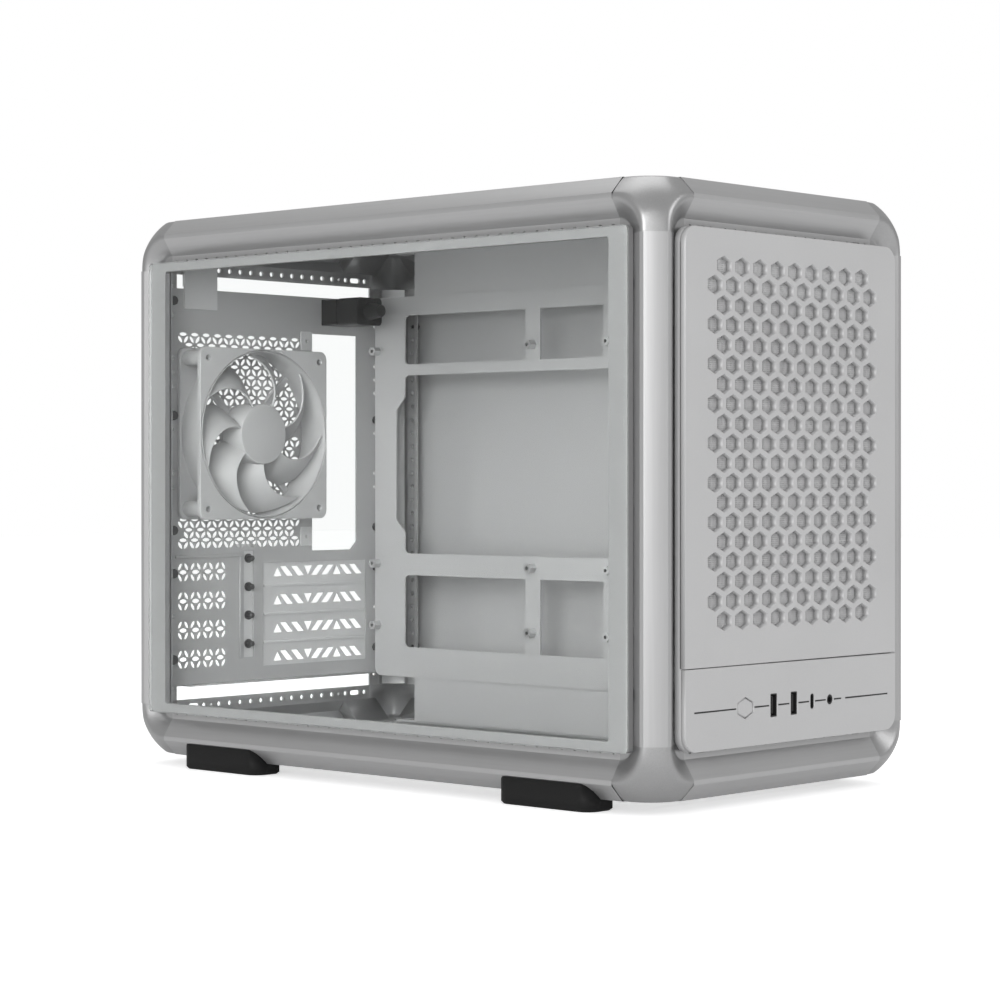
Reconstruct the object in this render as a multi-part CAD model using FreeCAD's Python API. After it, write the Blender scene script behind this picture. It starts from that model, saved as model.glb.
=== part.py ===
import FreeCAD, Part
import math
import os
from FreeCAD import Vector

# Modular computer case on a frame of folded-section aluminium beams, in millimetres.
# The origin is under the middle of the case, +X to the right, the front faces -Y, +Z is up.

# Frame lengths and corner section
SHORT_BEAM = 188.0
LONG_BEAM = 400.0
POST = 297.0
LEG = 34.0
CHAMFER = 10.0
RIDGE = 3.0
SLOPE_RUN = 11.5
SLOPE_DEPTH = 7.5
WALL = 1.6
TUBE_DEPTH = 4.2

# Flange holes
HOLE_PITCH = 10.0
HOLE_WIDE = 3.6
HOLE_ROW = 29.25
HOLE_SIDES = 4
LONG_FIRST_HOLE = 5.0
SHORT_END_HOLE = 5.5
SHORT_SLOT_START = 10.5
SHORT_SLOT_END = 20.5
SHORT_NEXT_HOLE = 25.0
SHORT_SMALL_HOLE = 32.0
SHORT_ROW_START = 39.0
DASH_LONG = 6.0
DASH_WIDE = 2.5

# Corner brackets
PLUG_LONG = 28.0
WEDGE_LONG = 27.0
PLUG_CLEARANCE = 0.15
PLUG_ROOT = 6.0

# Feet
FOOT_LIFT = 7.5
FOOT_LONG = 76.0
FOOT_WIDE = 21.0
FOOT_LAND = 0.7
FOOT_ROUND = 10.0
FOOT_EDGE = 1.5
FOOT_Y = LONG_BEAM / 2 - 55.0

# Panels that stand off the flanges
STANDOFF = 3.0
PANEL_DEPTH = 8.0
PANEL_OVERHANG = 12.5
PANEL_HEIGHT = POST + 9.0
FRONT_WIDE = SHORT_BEAM + 2 * PANEL_OVERHANG
SIDE_WIDE = LONG_BEAM + 2 * PANEL_OVERHANG
PANEL_ROUND = 10.0
FRONT_FACE = 3.5
FRONT_RIM = 2.5
FRONT_EDGE = 1.0
SHEET = 1.0
TOP_DEPTH = 5.5
TOP_FACE = 1.5
TOP_RIM = 2.0
TOP_BORDER = 14.0
GLASS = 4.0
GLASS_ROUND = 3.0
GLASS_SIDE_BAR = 14.5
GLASS_END_BAR = 6.0

# Front grille
HEX_SIZE = (13.4, 11.4)
HEX_PITCH = 17.45
HEX_ROW_PITCH = 11.6
HEX_TOP_ROW = PANEL_HEIGHT / 2 - 21.7
HEX_FOOT = 75.0
HEX_ROWS = int((HEX_TOP_ROW + PANEL_HEIGHT / 2 - HEX_FOOT) / HEX_ROW_PITCH) + 1
HEX_SHORT_ROW = int((FRONT_WIDE - 50.0) / HEX_PITCH)
SEAM_Z = 48.6 - PANEL_HEIGHT / 2
SEAM_WIDE = 0.8
SEAM_DEEP = 0.6
MESH = 0.8
MESH_MARGIN = 6.0

# Front ports, in a row on the lower strip
PORT_Z = 23.0 - PANEL_HEIGHT / 2
POWER_X = -49.4
POWER_SIZE = (14.6, 12.2)
POWER_FLANGE = 2.0
POWER_STEM = 4.8
POWER_BACK = 1.5
STEM_CLEARANCE = 0.7
GUIDE_WIDE = 12.0
POWER_GAP = 0.45
POWER_TRAVEL = 1.2
USB_A_X = (-21.5, -1.2)
USB_A_SIZE = (6.0, 13.3)
USB_A_TONGUE = 1.8
USB_C_TONGUE = 0.7
USB_C_X = 17.4
USB_C_SIZE = (3.2, 8.9)
AUDIO_X = 35.8
AUDIO_WIDE = 5.6
AUDIO_CASE = 7.5
AUDIO_BORE = 3.6
SHELL_WALL = 0.5
PORT_GAP = 0.3
BOARD_SIZE = (132.0, 20.0)
BOARD_MID_X = -6.0
BOARD_THICK = 1.6
BOARD_STANDS = 9.0
BOSS_WIDE = 6.0
BOSS_INSET = 4.0

# Rear panel
REAR_WIDE = SHORT_BEAM + 2 * PANEL_OVERHANG
REAR_HEIGHT = POST - 19.4
REAR_LIP = 10.0
IO_RIGHT = REAR_WIDE / 2 - 27.5
IO_LEFT = IO_RIGHT - 45.0
IO_TOP = POST / 2 - 36.5
IO_BOTTOM = IO_TOP - 158.5
REAR_BORDER = 17.5
VENT_LEFT = REAR_BORDER - REAR_WIDE / 2
VENT_PITCH = 10.4
VENT_WIDE = 8.4
STAR_COLUMNS = 4
STAR_PITCH = 11.47
STAR_RISE = 1.6
STAR_WIDE = 8.6
REAR_SCREWS_UNDER_TOP = (18.5, 98.5, 178.5, 208.5, 268.5)
REAR_SCREW_Z = tuple(POST / 2 - level for level in REAR_SCREWS_UNDER_TOP if level < POST)

# Expansion slots
SLOT_PITCH = 20.32
SLOT_FIRST_Z = IO_BOTTOM - 14.5
SLOT_COUNT = round((REAR_HEIGHT / 2 + SLOT_FIRST_Z) / SLOT_PITCH)
SLOT_RIGHT = REAR_WIDE / 2 - 14.5
SLOT_LEFT = SLOT_RIGHT - 109.0
SLOT_COVER_TALL = 18.8
SLOT_WINDOW_TALL = 13.0
SLOT_CUT_TALL = 7.0
SLOT_CUT_LEFT = SLOT_LEFT + 16.3
SLOT_CUT_STEP = 4.0
SLOT_WINDOW_EDGE = 3.0
SLOT_CUT_WIDE = 9.0
SLOT_CUT_PITCH = 11.9
SLOT_CUT_SLANT = 7.0
CHANNEL_X = SLOT_LEFT - 11.0
CHANNEL_WIDE = 14.0
CHANNEL_DEEP = 6.0

# Tab over the rear panel
TAB_WIDE = 30.0
TAB_LAP = 14.0
TAB_RISE = 9.0
TAB_SHEET = 1.5

# Rear fan
FAN_SIZE = REAR_WIDE - 93.0
FAN_DEPTH = 25.0
FAN_HOLES = FAN_SIZE - 15.0
FAN_HOLE = 4.3
FAN_X = FAN_SIZE / 2 - REAR_WIDE / 2 + 11.5
FAN_Z = IO_TOP - 74.5
FAN_BORE = FAN_SIZE - 4.0
FAN_VENT = FAN_BORE / 2 - 3.0
FAN_HEAD = 7.5
VENT_COLUMNS = int((FAN_X + FAN_SIZE / 2 - VENT_LEFT) / VENT_PITCH) + 1
VENT_ROWS_Z = (FAN_Z + FAN_SIZE / 2 + 11.5, FAN_Z - FAN_SIZE / 2 - 4.7, FAN_Z - FAN_SIZE / 2 - 13.7)
FAN_FLANGE = 3.5
FAN_ROUND = 6.0
FAN_BOSS = 11.0
HUB_WIDE = 43.0
HUB_FACE = 2.0
HUB_WALL = 2.0
HUB_GAP = 0.8
BLADES = 7
BLADE_TIP = FAN_BORE - 3.0
BLADE_THICK = 1.6
BLADE_SWEEP = 34.0
BLADE_TWIST = 26.0
STRUTS = 4
STRUT_WIDE = 5.0
STRUT_THICK = 3.0
SHAFT = 4.0
SHAFT_CLEARANCE = 0.05
SHAFT_LONG = 12.0
BEARING_WALL = 3.0

# Board tray
TRAY_X = SHORT_BEAM / 2 - 5.0
TRAY_SHEET = 1.2
TRAY_REAR = LONG_BEAM / 2 + 14.0
TRAY_LEG = 31.0
TRAY_LEG_THIN = 22.0
TRAY_FRONT = TRAY_REAR - 274.0
TRAY_FRONT_LEG = 24.0
TRAY_ROUND = 6.0
TRAY_STRIP = 14.0
TRAY_TOP = POST / 2 - 8.5
TRAY_BOTTOM = -TRAY_TOP
STANDOFF_LONG = 6.5
STANDOFF_FLATS = 6.0
STANDOFF_HOLE = 2.5
BOARD_ROWS_Y = (0.0, 154.94, 227.33)
BOARD_COLUMNS_Z = (0.0, -157.48, -203.2)
BOARD_FIRST_Y = TRAY_REAR - 3.0
BOARD_FIRST_Z = IO_TOP - 11.5
NOTCH_BOTTOM = BOARD_FIRST_Z - 124.5
NOTCH_TOP = BOARD_FIRST_Z - 43.5
ARM_TOP = (BOARD_FIRST_Z - 18.5, BOARD_FIRST_Z - 10.5)
ARM_LOW = (BOARD_FIRST_Z - 165.5, BOARD_FIRST_Z - 149.5)
TRAY_TOP_BAR = 14.0
TRAY_LOW_BAR = 22.0
TRAY_CORNER = 4.0
TRAY_ANGLE_LAP = (12.0, 18.0)
TRAY_ANGLE_ENDS = (10.0, 40.0)
TRAY_ANGLE_REACH = 6.0

# Rails along the horizontal flanges
RAIL_WIDE = 11.0
RAIL_THICK = 1.5
RAIL_LONG = LONG_BEAM - 4.0
RAIL_GAP = 1.0

# Cross rails and plates at the front
CROSS_TALL = 15.0
CROSS_SHEET = 1.2
CROSS_TAB = 9.0
CROSS_HIGH_Z = POST / 2 - 44.5
CROSS_LOW_Z = CROSS_HIGH_Z - 156.0
INNER_TOP = CROSS_HIGH_Z + 14.0
INNER_BOTTOM = CROSS_LOW_Z - 44.0
INNER_BORDER = 12.0
INNER_BAR = 10.0
PSU_TOP = CROSS_HIGH_Z + 8.0
PSU_BOTTOM = CROSS_LOW_Z + 8.0
PSU_LEFT = 1.0 - SHORT_BEAM / 2
PSU_RIGHT = PSU_LEFT + 153.0
PSU_CUT = 26.0
PSU_SHEET = 1.2
PSU_HOLES = (113.0, 51.5)
PSU_HOLE = 4.0
PSU_WINDOW = (96.0, 60.0)

# Power inlet in the rear panel
INLET_X = (IO_LEFT + IO_RIGHT) / 2 + 1.0
INLET_Z = REAR_HEIGHT / 2 - 10.8
INLET_BODY = (27.0, 19.0)
INLET_WALL = 2.0
INLET_POCKET = (-3.0, 11.0)
INLET_PIN = (1.0, 4.0)
INLET_PINS = ((-7.0, -1.5), (0.0, 2.0), (7.0, -1.5))
INLET_FLANGE = (37.0, 19.6)
INLET_FLANGE_THICK = 2.0
INLET_DEEP = 16.0
PLUG_HEAD = (25.0, 20.0, 21.0)
PLUG_HEAD_ROUND = 3.0
NECK_WIDE = 13.0
NECK_END = 9.0
NECK_LONG = 12.0

# Filters
FILTER_THICK = 3.5
FILTER_BAR = 6.0
FILTER_WIDE = SHORT_BEAM + 17.0
FILTER_LONG = LONG_BEAM - 10.0
FILTER_MESH = 0.8
FILTER_RIB = 3.0
FILTER_CELLS = (5, 10)
FILTER_GAP = 0.3

# Fasteners
STUD_COLLAR = 6.0
STUD_PIN = 2.2
STUD_PIN_LONG = 1.5
STUD_Z = POST / 2 - 28.5
STUD_TOP_Y = LONG_BEAM / 2 - 35.0
SCREW_HEAD = 6.0
SCREW_HEAD_TALL = 2.2
SCREW_SHANK = 3.0
SCREW_LONG = 4.5
THUMB_HEAD = 8.0
THUMB_TALL = 5.0

# Everything below is worked out from the values above
SQRT2 = math.sqrt(2)
FRAME_X = SHORT_BEAM + 2 * LEG
FRAME_Y = LONG_BEAM + 2 * LEG
FRAME_Z = POST + 2 * LEG
LEFT = -FRAME_X / 2
FRONT = -FRAME_Y / 2
MID_Z = FOOT_LIFT + FRAME_Z / 2
FLANGE_IN = SLOPE_DEPTH + WALL
WEB_DEPTH = 2 * WALL + TUBE_DEPTH
DISH_OUT = LEG - CHAMFER - RIDGE
DISH_IN = DISH_OUT - SLOPE_RUN
FLANGE_X = FRAME_X / 2 - SLOPE_DEPTH
FLANGE_Y = FRAME_Y / 2 - SLOPE_DEPTH
FLANGE_Z = FRAME_Z / 2 - SLOPE_DEPTH
HOLE_X = FRAME_X / 2 - HOLE_ROW
HOLE_Y = FRAME_Y / 2 - HOLE_ROW
FRONT_Y = FLANGE_Y + STANDOFF + PANEL_DEPTH
SIDE_X = FLANGE_X + STANDOFF + PANEL_DEPTH
TOP_Z = FLANGE_Z + STANDOFF + TOP_DEPTH
REAR_Y = FLANGE_Y - WALL
SHIFT_Y = (FRONT_Y - FRAME_Y / 2) / 2

RIGHTWARD = Vector(1, 0, 0)
BACKWARD = Vector(0, 1, 0)
UPWARD = Vector(0, 0, 1)


def plane(origin, across, up, inward):
    """Place function for a flat side: across and up lie in it, inward runs into the case."""
    def place(a, b, c=0.0):
        return origin + across * a + up * b + inward * c
    return place


FRONT_SIDE = plane(Vector(0, -FRONT_Y, MID_Z), RIGHTWARD, UPWARD, BACKWARD)
REAR_SIDE = plane(Vector(0, REAR_Y, MID_Z), RIGHTWARD, UPWARD, BACKWARD * -1)
LEFT_SIDE = plane(Vector(-SIDE_X, 0, MID_Z), BACKWARD, UPWARD, RIGHTWARD)
RIGHT_SIDE = plane(Vector(SIDE_X, 0, MID_Z), BACKWARD, UPWARD, RIGHTWARD * -1)
TOP_SIDE = plane(Vector(0, 0, MID_Z + TOP_Z), RIGHTWARD, BACKWARD, UPWARD * -1)
BOTTOM_SIDE = plane(Vector(0, 0, MID_Z - FLANGE_Z), RIGHTWARD, BACKWARD, UPWARD * -1)
TRAY_SIDE = plane(Vector(TRAY_X, 0, MID_Z), BACKWARD, UPWARD, RIGHTWARD)
FLOOR_PLAN = plane(Vector(0, 0, MID_Z), RIGHTWARD, BACKWARD, UPWARD)
FAN_SIDE = plane(Vector(FAN_X, REAR_Y - SHEET, MID_Z + FAN_Z), RIGHTWARD, UPWARD, BACKWARD * -1)


def rectangle(width, height, mid_a=0.0, mid_b=0.0):
    """Corners of a rectangle about a middle point."""
    a, b = width / 2, height / 2
    return [(mid_a - a, mid_b - b), (mid_a + a, mid_b - b), (mid_a + a, mid_b + b), (mid_a - a, mid_b + b)]


def regular(sides, flats, mid_a, mid_b, turn=0.0):
    """Corners of a regular polygon with the given width across flats."""
    reach = flats / 2 / math.cos(math.pi / sides)
    angles = [math.radians(turn) + 2 * math.pi * i / sides for i in range(sides)]
    return [(mid_a + reach * math.cos(t), mid_b + reach * math.sin(t)) for t in angles]


def pointed_hexagon(size, mid_a, mid_b):
    """Corners of an upright hexagon with a point at the top and at the bottom."""
    a, b = size[0] / 2, size[1] / 2
    corners = [(0, b), (-a, b / 2), (-a, -b / 2), (0, -b), (a, -b / 2), (a, b / 2)]
    return [(mid_a + x, mid_b + y) for x, y in corners]


def outline(points, place, at=0.0, radius=0.0):
    """Closed wire through the corner points, each rounded to the radius."""
    if radius <= 0:
        corners = [place(a, b, at) for a, b in points]
        return Part.makePolygon(corners + corners[:1])
    bends = []
    for i, (a, b) in enumerate(points):
        corner = Vector(a, b, 0)
        before = (Vector(*points[i - 1], 0) - corner).normalize()
        after = (Vector(*points[(i + 1) % len(points)], 0) - corner).normalize()
        half = before.getAngle(after) / 2
        cut = radius / math.tan(half)
        middle = (before + after).normalize()
        deepest = corner + middle * (radius / math.sin(half) - radius)
        bends.append([place(p.x, p.y, at) for p in (corner + before * cut, deepest, corner + after * cut)])
    edges = []
    for i, (start, deepest, end) in enumerate(bends):
        edges.append(Part.Arc(start, deepest, end).toShape())
        following = bends[(i + 1) % len(bends)][0]
        if end.distanceToPoint(following) > 1e-6:
            edges.append(Part.LineSegment(end, following).toShape())
    return Part.Wire(edges)


def ring(place, mid_a, mid_b, radius, at=0.0):
    """Circular wire in a side."""
    centre = place(mid_a, mid_b, at)
    normal = place(mid_a, mid_b, at + 1) - centre
    return Part.Wire(Part.makeCircle(radius, centre, normal))


def slab(place, wires, start, end):
    """Plate between two depths of a side: the first wire is its edge and the others are holes."""
    face = Part.makeFace(wires, "Part::FaceMakerBullseye") if len(wires) > 1 else Part.Face(wires[0])
    return face.extrude(place(0, 0, end) - place(0, 0, start))


def block(place, points, start, end, radius=0.0):
    return slab(place, [outline(points, place, start, radius)], start, end)


def rod(place, mid_a, mid_b, radius, start, end):
    return slab(place, [ring(place, mid_a, mid_b, radius, start)], start, end)


def joined(first, *others):
    return first.fuse(list(others)).removeSplitter()


def mirrored(shape, normal):
    """Twin of a shape on the other side of the case's middle plane."""
    return shape.mirror(Vector(0, 0, MID_Z), normal)


# Corner section: every line of it runs at a depth under the outer surface

def crossing(p, d, q, e):
    """Point where the line from p along d meets the line from q along e."""
    cross = d[0] * e[1] - d[1] * e[0]
    t = ((q[0] - p[0]) * e[1] - (q[1] - p[1]) * e[0]) / cross
    return (p[0] + t * d[0], p[1] + t * d[1])


def chamfer_line(depth):
    half = (CHAMFER + depth * SQRT2) / 2
    return (half, half), (1, -1)


def slope_line(depth):
    run = math.hypot(SLOPE_DEPTH, SLOPE_RUN)
    start = (depth * SLOPE_RUN / run, CHAMFER + RIDGE - depth * SLOPE_DEPTH / run)
    return start, (SLOPE_DEPTH, SLOPE_RUN)


def upright_line(depth):
    return (depth, 0), (0, 1)


def both_legs(points):
    """Points of one leg and the same points on the other."""
    return points + [(v, u) for u, v in reversed(points)]


def section_outline():
    outside = [
        (SLOPE_DEPTH, LEG),
        crossing(*upright_line(SLOPE_DEPTH), *slope_line(0)),
        (0, CHAMFER + RIDGE),
        (0, CHAMFER),
    ]
    inside = [
        crossing(*slope_line(WALL), *chamfer_line(WEB_DEPTH)),
        crossing(*upright_line(FLANGE_IN), *slope_line(WALL)),
        (FLANGE_IN, LEG),
    ]
    return both_legs(outside) + [(v, u) for u, v in reversed(inside)] + inside


def tube_outline(clearance):
    """Closed channel behind the chamfer, or what slides into it with a clearance all round."""
    depth = WALL + clearance
    return both_legs([
        crossing(*slope_line(depth), *chamfer_line(WALL + TUBE_DEPTH - clearance)),
        crossing(*upright_line(depth), *slope_line(depth)),
        crossing(*upright_line(depth), *chamfer_line(depth)),
    ])


def wedge_outline():
    """Wedge that fills the valley behind the web."""
    depth = WALL + PLUG_CLEARANCE
    return both_legs([
        crossing(*upright_line(SLOPE_DEPTH + depth), *slope_line(depth)),
        crossing(*slope_line(depth), *chamfer_line(WEB_DEPTH + PLUG_CLEARANCE)),
    ])


def along_x(u, v, t=0.0):
    return Vector(t, FRONT + u, FOOT_LIFT + v)


def along_y(u, v, t=0.0):
    return Vector(LEFT + u, t, FOOT_LIFT + v)


def along_z(u, v, t=0.0):
    return Vector(LEFT + u, FRONT + v, MID_Z + t)


def flange_hole(place, t, wide, slot=0.0, tall=None, other_leg=False):
    """Cutter for a hole in one flange; a slot is longer along the beam."""
    tall = tall or wide
    reach = [(t - slot / 2 - wide / 2, HOLE_ROW - tall / 2), (t + slot / 2 + wide / 2, HOLE_ROW + tall / 2)]
    if slot or HOLE_SIDES == 4:
        corners = [reach[0], (reach[1][0], reach[0][1]), reach[1], (reach[0][0], reach[1][1])]
    else:
        corners = regular(HOLE_SIDES, wide, t, HOLE_ROW, 180.0 / HOLE_SIDES)

    def lay(a, b, c=0.0):
        depth = SLOPE_DEPTH - WALL + c
        return place(b, depth, a) if other_leg else place(depth, b, a)
    return block(lay, corners, 0, 3 * WALL)


def beam(place, length, cutters):
    body = block(place, section_outline(), -length / 2, length / 2)
    hollow = block(place, tube_outline(0), -length / 2, length / 2)
    return body.cut([hollow] + cutters)


def short_beam():
    half = SHORT_BEAM / 2
    near = []
    for side in (-1, 1):
        near.append(flange_hole(along_x, side * (half - SHORT_END_HOLE), HOLE_WIDE))
        slot_mid = (SHORT_SLOT_START + SHORT_SLOT_END) / 2
        slot = SHORT_SLOT_END - SHORT_SLOT_START - HOLE_WIDE
        near.append(flange_hole(along_x, side * (half - slot_mid), HOLE_WIDE, slot))
        near.append(flange_hole(along_x, side * (half - SHORT_NEXT_HOLE), HOLE_WIDE))
        near.append(flange_hole(along_x, side * (half - SHORT_SMALL_HOLE), HOLE_WIDE * 0.6))
    count = round((SHORT_BEAM - 2 * SHORT_ROW_START) / HOLE_PITCH) + 1
    row = [flange_hole(along_x, (i - (count - 1) / 2) * HOLE_PITCH, HOLE_WIDE) for i in range(count)]
    return beam(along_x, SHORT_BEAM, near + row)


def long_beam():
    count = round((LONG_BEAM - 2 * LONG_FIRST_HOLE) / HOLE_PITCH) + 1
    row = [flange_hole(along_y, (i - (count - 1) / 2) * HOLE_PITCH, HOLE_WIDE) for i in range(count)]
    dashes = [
        flange_hole(along_y, side * STUD_TOP_Y, DASH_WIDE, DASH_LONG - DASH_WIDE, other_leg=True)
        for side in (-1, 1)
    ]
    return beam(along_y, LONG_BEAM, row + dashes)


def post():
    levels = sorted({side * z for side in (-1, 1) for z in REAR_SCREW_Z + (STUD_Z,)})
    facing_front = [flange_hole(along_z, z, HOLE_WIDE, other_leg=True) for z in levels]
    facing_side = [flange_hole(along_z, side * STUD_Z, HOLE_WIDE) for side in (-1, 1)]
    return beam(along_z, POST, facing_front + facing_side)


# Corner brackets: a cast corner with a dished flare on each of its three faces

def corner_bracket():
    tip = Vector(LEFT, FRONT, FOOT_LIFT)
    rim = tip + Vector(LEG, LEG, LEG)
    reach = math.hypot(LEG, LEG - CHAMFER)
    body = Part.makeBox(LEG, LEG, LEG, tip).common(Part.makeSphere(reach, rim))
    slope = SLOPE_RUN / SLOPE_DEPTH
    axes = (RIGHTWARD, BACKWARD, UPWARD)
    cutters = []
    for axis in axes:
        start = rim - axis * (LEG + 1)
        cutters.append(Part.makeCone(DISH_OUT + slope, DISH_IN, SLOPE_DEPTH + 1, start, axis))
    cavity = Part.makeBox(LEG, LEG, LEG, tip + Vector(FLANGE_IN, FLANGE_IN, FLANGE_IN))
    bevel = CHAMFER + WEB_DEPTH * SQRT2 - FLANGE_IN
    for place in (along_x, along_y, corner_along_z):
        edge = [(0, 0), (CHAMFER, 0), (0, CHAMFER)]
        cutters.append(block(place, edge, LEFT + FRONT, LEG - LEFT))
        fillet = [(FLANGE_IN, FLANGE_IN), (bevel, FLANGE_IN), (FLANGE_IN, bevel)]
        cavity = cavity.cut(block(place, fillet, LEFT + FRONT, LEG - LEFT))
    body = body.cut(cutters + [cavity])
    post_plug = block(along_z, tube_outline(PLUG_CLEARANCE), -POST / 2 - PLUG_ROOT, PLUG_LONG - POST / 2)
    wedges = [
        block(along_x, wedge_outline(), LEFT + LEG - PLUG_ROOT, LEFT + LEG + WEDGE_LONG),
        block(along_y, wedge_outline(), FRONT + LEG - PLUG_ROOT, FRONT + LEG + WEDGE_LONG),
    ]
    return joined(body, post_plug, *wedges)


def corner_along_z(u, v, t=0.0):
    return Vector(LEFT + u, FRONT + v, t)


def foot():
    """Rubber foot: its grooved top follows the underside of the long beam."""
    climb = (FOOT_WIDE - CHAMFER - RIDGE) * SLOPE_DEPTH / SLOPE_RUN
    shape = [
        (0, -FOOT_LIFT),
        (FOOT_WIDE, -FOOT_LIFT),
        (FOOT_WIDE, climb),
        (CHAMFER + RIDGE, 0),
        (CHAMFER, 0),
        (FOOT_LAND, CHAMFER - FOOT_LAND),
        (0, CHAMFER - FOOT_LAND),
    ]
    body = block(along_y, shape, -FOOT_Y - FOOT_LONG / 2, -FOOT_Y + FOOT_LONG / 2)
    plan = plane(Vector(LEFT, -FOOT_Y, 0), RIGHTWARD, BACKWARD, UPWARD)
    wide = rectangle(2 * FOOT_WIDE, FOOT_LONG, FOOT_WIDE, 0)
    body = body.common(block(plan, wide, 0, FOOT_LIFT + CHAMFER, FOOT_ROUND))
    lowest = [edge for edge in body.Edges if edge.BoundBox.ZMax < FOOT_LIFT / 10]
    return body.makeChamfer(FOOT_EDGE, lowest)


# Panels

def pan(place, width, height, depth, face, rim, radius, holes=(), edge=0.0):
    """Shallow pan: a holed face and a rim folded inwards."""
    sheet = slab(place, [outline(rectangle(width, height), place, 0, radius)] + list(holes), 0, face)
    inner = rectangle(width - 2 * rim, height - 2 * rim)
    wires = [
        outline(rectangle(width, height), place, face, radius),
        outline(inner, place, face, max(radius - rim, rim / 2)),
    ]
    body = joined(sheet, slab(place, wires, face, depth))
    if edge <= 0:
        return body
    level = place(0, 0, 0)
    inward = place(0, 0, 1) - level
    near_edge = max(width, height) / 2
    outer = []
    for candidate in body.Edges:
        away = [abs((vertex.Point - level).dot(inward)) for vertex in candidate.Vertexes]
        middle = candidate.CenterOfMass - level
        across = abs(middle.dot(place(1, 0, 0) - level))
        up = abs(middle.dot(place(0, 1, 0) - level))
        beyond = across > width / 2 - radius or up > height / 2 - radius
        if max(away) < 1e-6 and beyond and middle.Length < 2 * near_edge:
            outer.append(candidate)
    return body.makeChamfer(edge, outer)


def grille_holes(place):
    """Pointed hexagons in rows that alternate by one."""
    holes = []
    for row in range(HEX_ROWS):
        count = HEX_SHORT_ROW + row % 2
        level = HEX_TOP_ROW - row * HEX_ROW_PITCH
        for i in range(count):
            across = (i - (count - 1) / 2) * HEX_PITCH
            holes.append(outline(pointed_hexagon(HEX_SIZE, across, level), place))
    return holes


def port_holes(place):
    gap = 2 * PORT_GAP
    power = (POWER_SIZE[0] + 2 * POWER_GAP, POWER_SIZE[1] + 2 * POWER_GAP)
    holes = [outline(pointed_hexagon(power, POWER_X, PORT_Z), place)]
    for x in USB_A_X:
        holes.append(outline(rectangle(USB_A_SIZE[0] + gap, USB_A_SIZE[1] + gap, x, PORT_Z), place))
    width, height = USB_C_SIZE[0] + gap, USB_C_SIZE[1] + gap
    holes.append(outline(rectangle(width, height, USB_C_X, PORT_Z), place, 0, width / 2 - 0.1))
    holes.append(ring(place, AUDIO_X, PORT_Z, AUDIO_WIDE / 2 + PORT_GAP))
    return holes


def board_fixings():
    reach = BOARD_SIZE[0] / 2 - BOSS_INSET
    return [(BOARD_MID_X - reach, PORT_Z), (BOARD_MID_X + reach, PORT_Z)]


def front_panel():
    holes = grille_holes(FRONT_SIDE) + port_holes(FRONT_SIDE)
    body = pan(FRONT_SIDE, FRONT_WIDE, PANEL_HEIGHT, PANEL_DEPTH, FRONT_FACE, FRONT_RIM, PANEL_ROUND,
               holes, FRONT_EDGE)
    seam = block(FRONT_SIDE, rectangle(FRONT_WIDE + 2, SEAM_WIDE, 0, SEAM_Z), -1, SEAM_DEEP)
    bosses = [rod(FRONT_SIDE, a, b, BOSS_WIDE / 2, FRONT_FACE - 0.5, FRONT_FACE + BOARD_STANDS)
              for a, b in board_fixings()]
    return joined(body.cut(seam), *bosses)


def front_mesh():
    bottom = HEX_TOP_ROW - (HEX_ROWS - 1) * HEX_ROW_PITCH
    width = HEX_PITCH * HEX_SHORT_ROW + HEX_SIZE[0] + 2 * MESH_MARGIN
    height = HEX_TOP_ROW - bottom + 2 * MESH_MARGIN
    field = rectangle(width, height, 0, (HEX_TOP_ROW + bottom) / 2)
    return block(FRONT_SIDE, field, FRONT_FACE, FRONT_FACE + MESH, MESH_MARGIN / 2)


def power_button():
    """Hexagonal cap with a flange that keeps it behind the panel, on a round stem."""
    back = FRONT_FACE + POWER_BACK
    cap = block(FRONT_SIDE, pointed_hexagon(POWER_SIZE, POWER_X, PORT_Z), 0, back)
    wide = (POWER_SIZE[0] + 2 * POWER_FLANGE, POWER_SIZE[1] + 2 * POWER_FLANGE)
    flange = block(FRONT_SIDE, pointed_hexagon(wide, POWER_X, PORT_Z), FRONT_FACE + PORT_GAP, back)
    stem_end = FRONT_FACE + BOARD_STANDS - POWER_TRAVEL - STEM_CLEARANCE
    stem = rod(FRONT_SIDE, POWER_X, PORT_Z, POWER_STEM / 2, back - PORT_GAP, stem_end)
    return joined(cap, flange, stem)


def button_guide():
    """Collar on the port board that the button's stem rides in."""
    start = FRONT_FACE + POWER_BACK + POWER_TRAVEL + STEM_CLEARANCE
    wires = [
        outline(rectangle(GUIDE_WIDE, GUIDE_WIDE, POWER_X, PORT_Z), FRONT_SIDE, start, 1.0),
        ring(FRONT_SIDE, POWER_X, PORT_Z, POWER_STEM / 2 + PORT_GAP, start),
    ]
    return slab(FRONT_SIDE, wires, start, FRONT_FACE + BOARD_STANDS)


def port_board():
    start = FRONT_FACE + BOARD_STANDS
    board = rectangle(BOARD_SIZE[0], BOARD_SIZE[1], BOARD_MID_X, PORT_Z)
    return block(FRONT_SIDE, board, start, start + BOARD_THICK, 1.5)


def usb_ports():
    """Folded metal shells with a tongue, open to the front."""
    back = FRONT_FACE + BOARD_STANDS
    ports = []
    for x in USB_A_X:
        ports.append(port_shell(USB_A_SIZE, x, 0.2, USB_A_TONGUE, back))
    ports.append(port_shell(USB_C_SIZE, USB_C_X, USB_C_SIZE[0] / 2 - 0.1, USB_C_TONGUE, back))
    return Part.makeCompound(ports)


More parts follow.
